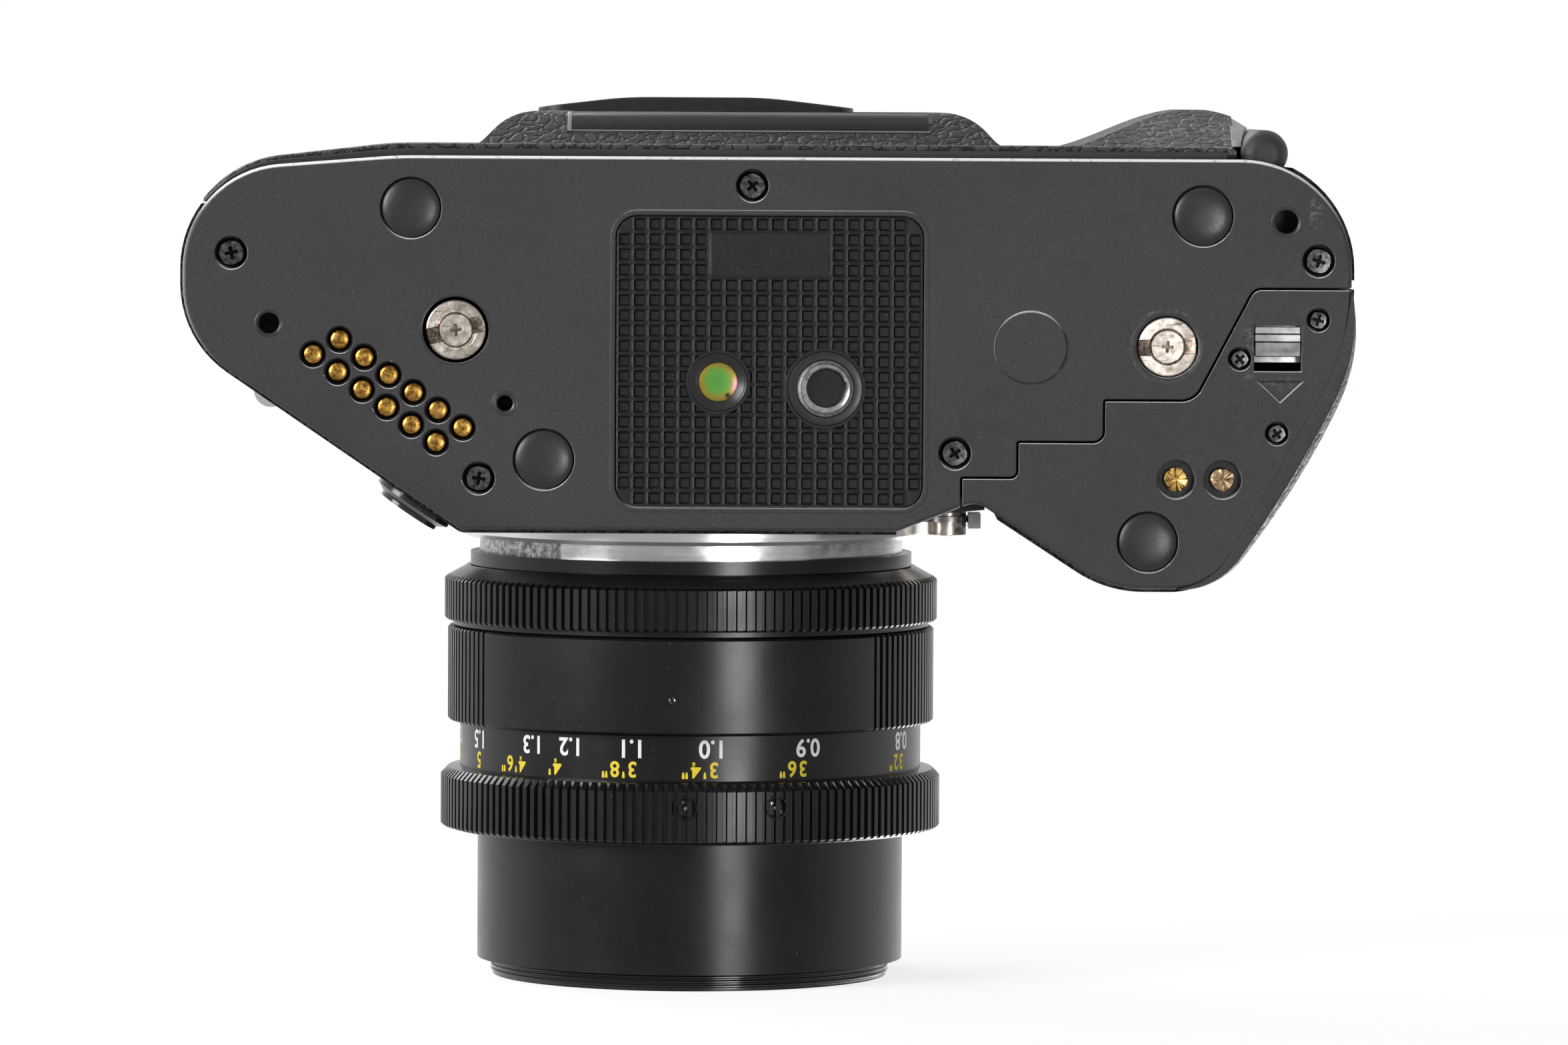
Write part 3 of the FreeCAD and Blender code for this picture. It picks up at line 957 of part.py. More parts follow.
def finder_end():
    """The eyepiece housing, its window and lens, and the dioptre wheel. The hump's back face leans
    forward from its waist, and the housing follows it."""
    low, high = S.eye_low_z, S.eye_high_z
    front = S.hump_back_y + S.fit_gap
    half, radius = S.eye_half, S.eye_r
    waist = S.deck_z + S.hump_waist
    waist_y = S.hump_back_y - 0.5
    lean = (waist_y - S.hump_top_back_y) / (S.roof_z - waist)
    frame = along_y([
        (S.axis_x - half, low, radius), (S.axis_x + half, low, radius),
        (S.axis_x + half, high, radius), (S.axis_x - half, high, radius)], 0, S.eye_back_y)
    side = along_x([
        (front, low, 0), (S.eye_back_y, low, 0), (S.eye_back_y, high, 0),
        (waist_y - lean * (high - waist) + S.move_gap, high, 0), (front, waist, 0)],
        S.axis_x - half - 1, S.axis_x + half + 1)
    ends = (S.axis_x - half - 1, S.axis_x + half + 1)
    plan = raised(outline([
        (ends[0], 0, 0), (ends[0], S.eye_back_y - S.eye_fall, 0),
        (S.axis_x - S.eye_flat_half, S.eye_back_y, S.eye_bend_r),
        (S.axis_x + S.eye_flat_half, S.eye_back_y, S.eye_bend_r),
        (ends[1], S.eye_back_y - S.eye_fall, 0), (ends[1], 0, 0)]), low - 1, high + 1)
    frame = frame.common(side).common(plan)
    middle = (low + high) / 2
    wide, tall = S.eye_window_half, S.eye_window_high / 2
    window = block(S.axis_x - wide, S.axis_x + wide, 0, FAR, middle - tall, middle + tall)
    step = S.eye_step
    room_back = front + S.eye_lens + step
    lens_room = block(S.axis_x - wide - step, S.axis_x + wide + step, 0, room_back,
                      middle - tall - step, middle + tall + step)
    dial_x = S.axis_x + wide + S.diopter_off
    dial_y, dial_z = front + S.diopter_deep, high - S.diopter_down
    pin = S.diopter_pin

    def along(start, long, wheel_r):
        return Part.makeCylinder(wheel_r, long, Vector(start, dial_y, dial_z), Vector(1, 0, 0))

    gap = S.move_gap
    rooms = joined(along(dial_x - gap, S.diopter_thick + 2 * gap, S.diopter_r + gap),
                   along(dial_x - pin - gap, S.diopter_thick + 2 * (pin + gap),
                         S.diopter_pin_r + S.shaft_gap))
    formed("eyepiece_frame", drilled(frame, window, lens_room, rooms))
    formed("diopter_dial", joined(along(dial_x, S.diopter_thick, S.diopter_r),
                                  along(dial_x - pin, S.diopter_thick + 2 * pin, S.diopter_pin_r)))
    over = S.eye_lens_over
    lens_front = front + S.eye_lens_sink
    formed("eyepiece_lens", block(
        S.axis_x - wide - over, S.axis_x + wide + over, lens_front, lens_front + S.eye_lens,
        middle - tall - over, middle + tall + over))


def accessory_shoe():
    half = S.shoe_wide / 2
    y_mid = (S.hump_top_front_y + S.hump_top_back_y) / 2
    y0, y1 = y_mid - S.shoe_long / 2, y_mid + S.shoe_long / 2
    section = [(-half - S.shoe_rail, S.roof_z), (half + S.shoe_rail, S.roof_z),
               (half + S.shoe_rail, S.top_z), (half - S.shoe_lip, S.top_z),
               (half - S.shoe_lip, S.top_z - S.shoe_lip_thick), (half, S.top_z - S.shoe_lip_thick),
               (half, S.roof_z + S.shoe_base), (-half, S.roof_z + S.shoe_base),
               (-half, S.top_z - S.shoe_lip_thick), (-half + S.shoe_lip, S.top_z - S.shoe_lip_thick),
               (-half + S.shoe_lip, S.top_z), (-half - S.shoe_rail, S.top_z)]
    shoe = along_y([(S.axis_x + a, b, 0) for a, b in section], y0, y1)
    stop = block(S.axis_x - half, S.axis_x + half, y0, y0 + 1.0, S.roof_z, S.top_z)
    formed("hot_shoe", joined(shoe, stop))


def lug(x_from, x_to, y, z):
    """A strap lug: a post with an eye at its outer end, whose hole is upright."""
    way = 1 if x_to > x_from else -1
    stem = Part.makeCylinder(S.lug_post_r, abs(x_to - x_from) - S.lug_r, Vector(x_from, y, z),
                             Vector(way, 0, 0))
    half = S.lug_thick / 2
    eye = post(x_to - way * S.lug_r, y, z - half, z + half, S.lug_r)
    hole = post(x_to - way * S.lug_r, y, z - half - 1, z + half + 1, S.lug_hole_r)
    return joined(stem, eye).cut(hole)


def deck_controls():
    deck = S.deck_z
    turned("shutter_button", [
        (0, deck - S.button_deep), (S.button_r, deck - S.button_deep),
        (S.button_r, deck + S.button_high), (0, deck + S.button_high)],
        (S.button_x, S.button_y, 0), upright=True)
    for label, x, y, radius in (("shutter_dial", S.speed_x, S.speed_y, S.speed_r),
                                ("mode_dial", S.mode_x, S.mode_y, S.mode_r)):
        turned(label, [
            (0, deck - S.dial_stem), (S.rewind_r, deck - S.dial_stem),
            (S.rewind_r, deck + S.fit_gap), (radius, deck + S.fit_gap),
            (radius, deck + S.dial_high), (0, deck + S.dial_high)], (x, y, 0), upright=True)
    fork_low = S.chassis_top_z - S.fork_low
    fork = block(-S.fork_thick / 2, S.fork_thick / 2, -S.fork_half, S.fork_half, fork_low,
                 fork_low + S.fork_high)
    hub = joined(
        post(0, 0, deck + S.fit_gap, deck + S.crank_high, S.crank_r),
        post(0, 0, fork_low + 1, deck + 1, S.rewind_r), fork)
    half, floor = S.crank_half, deck + S.crank_floor
    trench = block(-half - S.move_gap, half + S.move_gap, -S.crank_r - 1, S.crank_r + 1,
                   floor, deck + S.crank_high + 1)
    arm_low = floor + S.move_gap
    pivot_y, pivot_z = S.crank_pivot_y, arm_low + S.crank_thick / 2
    pin = S.crank_pin_half

    def cross_pin(radius, long):
        return Part.makeCylinder(radius, 2 * long, Vector(-long, pivot_y, pivot_z), Vector(1, 0, 0))

    hub = drilled(hub, trench, cross_pin(S.crank_pin_r + S.shaft_gap, pin + S.shaft_gap))
    hub.translate(Vector(S.rewind_x, S.rewind_y, 0))
    formed("rewind_hub", hub)
    arm = block(-half, half, pivot_y - S.crank_arm, pivot_y + S.crank_pin_r, arm_low,
                arm_low + S.crank_thick)
    knob = post(0, pivot_y + S.crank_knob_r - S.crank_arm, arm_low,
                deck + S.crank_high + S.crank_knob_r, S.crank_knob_r)
    handle = joined(arm, knob, cross_pin(S.crank_pin_r, pin))
    handle.translate(Vector(S.rewind_x, S.rewind_y, 0))
    formed("rewind_handle", handle)
    hub_low = deck + S.advance_lift
    turned_hub = post(0, 0, hub_low, hub_low + S.advance_hub_high, S.advance_hub_r)
    reach, wide = S.advance_long, S.advance_wide
    z0 = hub_low + S.advance_under
    arm = raised(outline([
        (0, S.advance_hub_r * 0.98, 0), (0, -wide / 3, 0), (reach - 1, -wide * 0.95, wide / 4),
        (reach - 1, wide / 20, wide / 4)]), z0, z0 + S.advance_thick)
    tip_from = reach - S.advance_tip
    tip = raised(outline([
        (tip_from, -wide, wide / 6), (reach, -wide, wide / 3), (reach, wide / 6, wide / 3),
        (tip_from, wide / 4, wide / 6)]), z0, z0 + S.advance_thick * 1.25)
    lever = joined(turned_hub, arm, tip)
    lever.rotate(Vector(0, 0, 0), Vector(0, 0, 1), S.advance_turn)
    lever.translate(Vector(S.wind_x, S.wind_y, 0))
    formed("advance_lever", lever)
    left_seat, away = left_lug_seat()
    left = lug(0, S.lug_out + S.lug_in, 0, 0)
    left.rotate(Vector(0, 0, 0), Vector(0, 0, 1), math.degrees(math.atan2(away.y, away.x)))
    left.translate(left_seat)
    right = lug(S.right_x + S.lug_in, S.right_x - S.lug_out, S.lug_y, S.lug_z)
    formed("strap_lugs", Part.makeCompound([right, left]))


def battery_grip():
    low, high = S.base_thick, S.grip_top_z
    plan = body_face(-S.shell_inset).common(grip_side(-S.part_gap / 2)).Faces[0]
    inner = plan.makeOffset2D(-S.wall)
    skin = raised(plan, low, high).cut(raised(inner, low - 1, high - S.wall))
    formed("grip_shell", skin)
    base = softened(raised(body_face(0).common(grip_side(-S.part_gap / 2)), 0, low))
    half = S.latch_wide / 2 + S.fit_gap
    arrow = raised(outline([
        (S.arrow_x - S.arrow_half, S.arrow_y, 0), (S.arrow_x + S.arrow_half, S.arrow_y, 0),
        (S.arrow_x, S.arrow_y - S.arrow_long, 0)]), -1, S.arrow_deep)
    tools = screw_holes(SMALL_SCREWS, S.small_screw_r) + [
        foot_seat(S.grip_foot_x, S.grip_foot_y), arrow,
        block(S.latch_x - half, S.latch_x + half, S.latch_front_y - S.latch_travel - S.fit_gap,
              S.latch_back_y + S.fit_gap, -1, low + 1),
    ]
    tools += [post(x, S.contact_y, -1, S.contact_seat, S.contact_r + S.contact_room)
              for x in (S.contact_a_x, S.contact_b_x)]
    formed("grip_base", drilled(base, *tools))
    leather = raised(body_face(S.leather_thick - S.shell_inset), S.leather_low_z, S.leather_high_z)
    leather = drilled(leather, raised(body_face(-S.shell_inset), 0, high)).common(
        raised(grip_side(-S.part_gap / 2), 0, high))
    leather = leather.cut(block(S.throat_x - S.throat_r, FAR, -FAR, FAR, 0, high))
    formed("grip_leather", leather)
    left, right = S.latch_x - S.latch_wide / 2, S.latch_x + S.latch_wide / 2
    front, back, rise = S.latch_front_y, S.latch_back_y, S.latch_rise
    slider = joined(
        block(left, right, front, back, rise, low + rise),
        block(left, right, front + S.latch_step, back - S.latch_top, -rise, low),
        block(left - 1, right + rise, front - S.latch_top, back + S.latch_top, low + S.fit_gap,
              low + 1))
    formed("grip_latch", slider)
    contacts = [post(x, S.contact_y, S.contact_sink, S.contact_seat, S.contact_r)
                for x in (S.contact_a_x, S.contact_b_x)]
    formed("grip_contacts", Part.makeCompound(contacts))
    first = low + S.wall - S.cell_gap
    cells = [post(S.cell_x, S.cell_y, z, z + S.cell_long, S.cell_r)
             for z in (first, first + S.cell_gap + S.cell_long)]
    formed("battery_cells", Part.makeCompound(cells))


def round_ended(x, y, z0, z1, radius, ease):
    """An upright post whose lower end is rounded over."""
    whole = post(x, y, z0, z1, radius)
    lowest = min(whole.Edges, key=lambda edge: edge.BoundBox.ZMax)
    return whole.makeFillet(ease, [lowest])


def back_door():
    low, high = S.base_thick + S.move_gap, S.waist_z - S.move_gap
    plan = body_face(-S.shell_inset).common(
        outline([(S.door_right_x, S.door_front_y, 0), (FAR, S.door_front_y, 0), (FAR, FAR, 0),
                 (S.door_right_x, FAR, 0)]))
    slab = raised(plan, low, high)
    ease = S.raise_r
    slope = [(0, low, 0), (S.back_y, S.raise_low_z, 0), (S.raise_y, S.raise_full_z, ease),
             (S.raise_y, high - S.raise_top, ease), (S.back_y, high, 0), (0, high, 0)]
    face_y = S.back_y - S.shell_inset
    run_left, run_right = S.raise_left_x + S.raise_run, S.raise_right_x - S.raise_run
    bulge_plan = outline([
        (run_left, S.back_y - 3, 0), (run_left, face_y, 0), (S.raise_left_x, face_y, ease),
        (S.raise_left_x - S.raise_slope, S.raise_y, ease),
        (S.raise_right_x + S.raise_slope, S.raise_y, ease), (S.raise_right_x, face_y, ease),
        (run_right, face_y, 0), (run_right, S.back_y - 3, 0)])
    bulge = raised(bulge_plan, low, high).common(along_x(slope, run_right - 1, run_left + 1))
    thumb = thumb_rest(0)
    knuckle_low = low + S.knuckle_long - S.move_gap
    knuckle_high = high - S.knuckle_long + S.move_gap
    knuckles = []
    for z0, z1 in ((low, knuckle_low), (knuckle_high, high)):
        knuckles.append(round_ended(S.hinge_x, S.hinge_y, z0, z1, S.knuckle_r, S.knuckle_round))
        knuckles.append(block(S.hinge_x, S.door_right_x + 2, S.hinge_y - S.web_half,
                              S.back_y - S.shell_inset, z0, z1))
    rim = S.pocket_rim
    pocket = block(S.spool_x - S.spool_room_r - S.web_half, S.rewind_x + S.cartridge_r + S.web_half,
                   0, S.door_pocket_y, S.chassis_low_z - rim, S.chassis_top_z - rim)
    bore = post(S.hinge_x, S.hinge_y, low + S.knuckle_floor, high + 1,
                S.hinge_pin_r + S.shaft_gap)
    solid = joined(slab, bulge, thumb, *knuckles)
    floor = S.raise_y + S.leather_thick - S.panel_deep - S.panel_thick
    margin = S.fit_gap
    panel_seat = block(S.panel_right_x - margin, S.panel_left_x + margin, floor, FAR,
                       S.panel_low_z - margin, S.panel_high_z + margin)
    formed("door_shell", drilled(solid, pocket, bore, panel_seat))
    skin = raised(body_face(S.leather_thick - S.shell_inset).common(
        outline([(S.door_right_x, S.door_front_y, 0), (FAR, S.door_front_y, 0), (FAR, FAR, 0),
                 (S.door_right_x, FAR, 0)])), S.leather_low_z, S.leather_high_z)
    bulge_skin = raised(bulge_plan.makeOffset2D(S.leather_thick, 2), S.leather_low_z,
                        S.leather_high_z)
    thick = S.leather_thick
    skin_slope = [(0, S.leather_low_z, 0), (S.back_y + thick, S.raise_low_z, 0),
                  (S.raise_y + thick, S.raise_full_z - S.move_gap, ease),
                  (S.raise_y + thick, high - S.raise_top + S.move_gap, ease),
                  (S.back_y + thick, S.leather_high_z, 0), (0, S.leather_high_z, 0)]
    bulge_skin = bulge_skin.common(along_x(skin_slope, run_right - 3, run_left + 3))
    cover = joined(skin, bulge_skin, thumb_rest(thick))
    inside = block(-FAR, FAR, 0, S.back_y - S.shell_inset - 0.01, 0, high)
    inside = inside.common(raised(body_face(-S.shell_inset), 0, high))
    cover = drilled(cover, solid, panel_seat, inside)
    pieces = [piece for piece in cover.Solids if piece.Volume > 5]
    formed("door_leather", Part.makeCompound(pieces) if len(pieces) > 1 else pieces[0])
    panel = block(S.panel_right_x, S.panel_left_x, floor, floor + S.panel_thick,
                  S.panel_low_z, S.panel_high_z)
    formed("door_panel", panel.makeChamfer(S.panel_edge, panel.Edges))
    back = S.film_y + S.plate_gap
    plate = block(S.axis_x - S.plate_half, S.axis_x + S.plate_half, back, back + S.plate_thick,
                  S.film_low_z, S.film_high_z)
    wide, tall = S.spring_wide / 2, S.spring_high / 2
    springs = [block(S.axis_x + side - wide, S.axis_x + side + wide, back + S.plate_thick / 2,
                     S.door_pocket_y - S.shaft_gap, S.axis_z - tall, S.axis_z + tall)
               for side in (-S.plate_half / 2, S.plate_half / 2)]
    formed("pressure_plate", joined(plate, *springs))


def thumb_rest(grow):
    """The thumb rest: a swell that rises to the right and grows with height."""
    start = Vector(S.thumb_from_x + grow, S.back_y - S.shell_inset + grow, 0)
    peak = Vector(S.thumb_peak_x, S.thumb_y + grow, 0)
    end = Vector(S.door_right_x, S.thumb_y + grow - S.thumb_drop, 0)
    curve = Part.BSplineCurve()
    curve.interpolate([start, (start + peak) * 0.5 + Vector(0, 0.2, 0), peak, end],
                      InitialTangent=Vector(-1, 0.05, 0), FinalTangent=Vector(-1, -0.4, 0))
    foot_end = Vector(S.door_right_x, S.back_y - 3, 0)
    foot_start = Vector(S.thumb_from_x + grow, S.back_y - 3, 0)
    wire = Part.Wire([curve.toShape(), Part.makeLine(end, foot_end),
                      Part.makeLine(foot_end, foot_start), Part.makeLine(foot_start, start)])
    low, high = S.leather_low_z, S.leather_high_z
    if grow == 0:
        low, high = S.base_thick + S.move_gap, S.waist_z - S.move_gap
    swell = raised(Part.Face(wire), low, high)
    wedge = along_x([
        (0, low, 0), (S.back_y - S.shell_inset + grow, low, 0),
        (S.thumb_y + grow, S.thumb_full_z, S.raise_r),
        (S.thumb_y + grow, high - S.raise_top * 0.7, 0),
        (S.back_y - S.shell_inset + grow, high, 0), (0, high, 0)],
        S.door_right_x - 1, S.thumb_from_x + grow + 1)
    return swell.common(wedge)


def write_parts():
    """Recomputes, checks every object and sub-part, and writes one file for each sub-part."""
    doc.recompute()
    faults = [item.Name for item in doc.Objects
              if "Invalid" in item.State or "Error" in item.State]
    for thing in NODES:
        if thing.Shape.isNull() or not thing.Shape.isValid() or thing.Shape.Volume <= 0:
            faults.append(thing.Label + " shape")
    if faults:
        raise RuntimeError("failed: " + ", ".join(faults))
    os.makedirs("parts", exist_ok=True)
    for thing in NODES:
        thing.Shape.exportStep(f"parts/{thing.Label}.step")
    print(len(NODES), "parts written")


base_plate()
base_fittings()
contact_row()
body_shell()
chassis()
film_transport()
mirror_and_shutter()
lens()
mount_controls()
top_cover()
finder_end()
accessory_shoe()
deck_controls()
battery_grip()
back_door()
write_parts()
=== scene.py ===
"""Looks of a 35 mm film SLR camera with a short tele lens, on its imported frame.

The frame is in metres. Every size below is in millimetres and is turned into metres where a mesh is
made. The lens points to -Y, the base plate looks to -Z and the hand grip is at -X.
"""
import json
import math

import bmesh
import bpy
import numpy as np
from mathutils import Matrix, Vector


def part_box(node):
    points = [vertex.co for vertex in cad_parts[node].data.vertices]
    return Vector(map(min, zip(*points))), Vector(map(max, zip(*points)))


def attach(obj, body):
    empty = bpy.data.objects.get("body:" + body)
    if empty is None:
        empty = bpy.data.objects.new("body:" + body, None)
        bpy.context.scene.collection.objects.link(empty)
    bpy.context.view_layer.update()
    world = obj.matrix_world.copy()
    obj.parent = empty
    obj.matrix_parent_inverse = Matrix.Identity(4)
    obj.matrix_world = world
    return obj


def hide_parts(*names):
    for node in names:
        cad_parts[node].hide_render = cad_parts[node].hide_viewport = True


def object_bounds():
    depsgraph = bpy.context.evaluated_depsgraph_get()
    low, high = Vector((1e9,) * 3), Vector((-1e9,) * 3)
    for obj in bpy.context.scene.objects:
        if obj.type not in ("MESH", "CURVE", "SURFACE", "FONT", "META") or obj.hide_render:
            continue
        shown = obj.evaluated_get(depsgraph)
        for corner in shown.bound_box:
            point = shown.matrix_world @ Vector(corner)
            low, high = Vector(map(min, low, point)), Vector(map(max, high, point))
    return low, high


MM = 0.001

# Camera of the photograph: place, downward pitch, roll and focal length on a 36 mm wide sensor
EYE = (5.5, 38.6, -1195.0)
EYE_PITCH = math.radians(2.72)
EYE_ROLL = math.radians(0.3)
EYE_FOCAL = 202.7
SENSOR_WIDE = 36.0
CLIP_NEAR_M, CLIP_FAR_M = 0.05, 20.0

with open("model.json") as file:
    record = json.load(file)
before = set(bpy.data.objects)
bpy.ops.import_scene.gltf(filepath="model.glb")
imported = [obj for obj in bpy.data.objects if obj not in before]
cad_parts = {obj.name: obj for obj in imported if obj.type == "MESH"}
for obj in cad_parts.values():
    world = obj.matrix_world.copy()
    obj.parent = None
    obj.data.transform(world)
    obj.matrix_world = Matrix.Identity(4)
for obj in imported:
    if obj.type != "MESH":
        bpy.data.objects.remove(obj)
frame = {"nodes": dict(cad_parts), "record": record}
bounds_at_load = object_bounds()
NODES = frame["nodes"]


def box_mm(node):
    """Lowest and highest corner of a node in millimetres."""
    low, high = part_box(node)
    return np.array(low) / MM, np.array(high) / MM


def mesh_points(mesh):
    """Points of a mesh as rows of (x, y, z) in the mesh's own unit."""
    points = np.zeros(len(mesh.vertices) * 3, np.float32)
    mesh.vertices.foreach_get("co", points)
    return points.reshape(-1, 3)


FOCUS_LOW, FOCUS_HIGH = box_mm("focus_ring")
AXIS_X = (FOCUS_LOW[0] + FOCUS_HIGH[0]) / 2
AXIS_Z = (FOCUS_LOW[2] + FOCUS_HIGH[2]) / 2


# Surfaces

def patch(grid, around=False, along=False):
    """Quads between neighbouring points of a grid of rows of points. around joins the ends of each
    row, along joins the last row to the first."""
    rows, cols = grid.shape[:2]
    index = np.arange(rows * cols).reshape(rows, cols)
    if around:
        index = np.concatenate([index, index[:, :1]], axis=1)
    if along:
        index = np.concatenate([index, index[:1]], axis=0)
    quads = np.stack([index[:-1, :-1], index[:-1, 1:], index[1:, 1:], index[1:, :-1]], axis=-1)
    return grid.reshape(-1, 3), quads.reshape(-1, 4)


def piece(name, patches, look, body, replaces=(), crease=35.0):
    """One object from several patches: points are merged, faces are turned outwards, and edges
    sharper than the crease angle stay sharp."""
    points, quads, start = [], [], 0
    for verts, faces in patches:
        points.append(verts)
        quads.append(faces + start)
        start += len(verts)
    points = np.concatenate(points).astype(np.float32) * MM
    quads = np.concatenate(quads).astype(np.int32)
    mesh = bpy.data.meshes.new(name)
    mesh.vertices.add(len(points))
    mesh.vertices.foreach_set("co", points.ravel())
    mesh.loops.add(quads.size)
    mesh.loops.foreach_set("vertex_index", quads.ravel())
    mesh.polygons.add(len(quads))
    mesh.polygons.foreach_set("loop_start", np.arange(len(quads), dtype=np.int32) * 4)
    mesh.update(calc_edges=True)
    work = bmesh.new()
    work.from_mesh(mesh)
    bmesh.ops.remove_doubles(work, verts=work.verts, dist=1e-7)
    bmesh.ops.dissolve_degenerate(work, edges=work.edges, dist=1e-8)
    bmesh.ops.recalc_face_normals(work, faces=work.faces)
    work.to_mesh(mesh)
    work.free()
    mesh.shade_smooth()
    mesh.set_sharp_from_angle(angle=math.radians(crease))
    thing = bpy.data.objects.new(name, mesh)
    bpy.context.scene.collection.objects.link(thing)
    thing.data.materials.append(look)
    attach(thing, body)
    if replaces:
        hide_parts(*replaces)
    return thing


def about_lens(profile, turns, sink=None, weight=None, closed=True):
    """A profile of (radius, y) turned about the lens axis. The angle starts at the bottom and grows
    towards -X. sink, one value for each angle, times weight, one for each point, is taken off the radius."""
    profile = np.asarray(profile, float)
    radius = np.repeat(profile[:, :1], len(turns), axis=1)
    if sink is not None:
        radius = radius - np.asarray(weight, float)[:, None] * np.asarray(sink)[None, :]
    along = np.repeat(profile[:, 1:], len(turns), axis=1)
    grid = np.stack([AXIS_X - radius * np.sin(turns), along, AXIS_Z - radius * np.cos(turns)], axis=-1)
    return patch(grid, around=True, along=closed)


def about_rows(profile, centre, turns, sink=None, weight=None):
    """Grid of points of a profile of (radius, z) turned about an upright axis through centre. sink and
    weight work as in about_lens."""
    profile = np.asarray(profile, float)
    radius = np.repeat(profile[:, :1], len(turns), axis=1)
    if sink is not None:
        radius = radius - np.asarray(weight, float)[:, None] * np.asarray(sink)[None, :]
    along = np.repeat(profile[:, 1:], len(turns), axis=1)
    return np.stack([centre[0] + radius * np.cos(turns), centre[1] + radius * np.sin(turns), along],
                    axis=-1)


def about_upright(profile, centre, turns, closed=False):
    """A surface made of about_rows, joined to itself round the axis."""
    return patch(about_rows(profile, centre, turns), around=True, along=closed)


def full_turn(count):
    """Evenly spaced angles of one turn."""
    return np.arange(count) * (2 * math.pi / count)


def rib_turns(count, plain=None):
    """Angles and sinking of a rim of count ribs: each rib is a flat land, a steep flank, a flat groove
    and a flank back. plain is a range of angles, in degrees from the bottom, left without grooves."""
    parts = np.array([0.0, 0.50, 0.60, 0.90])
    levels = np.array([0.0, 0.0, 1.0, 1.0])
    turns = ((np.arange(count)[:, None] + parts[None, :]) / count).ravel() * 2 * math.pi
    sink = np.tile(levels, count)
    if plain:
        past = (np.degrees(turns) - plain[0]) % 360
        sink = np.where((past > 0) & (past < plain[1] - plain[0]), 0.0, sink)
    return turns, sink


# Finishes

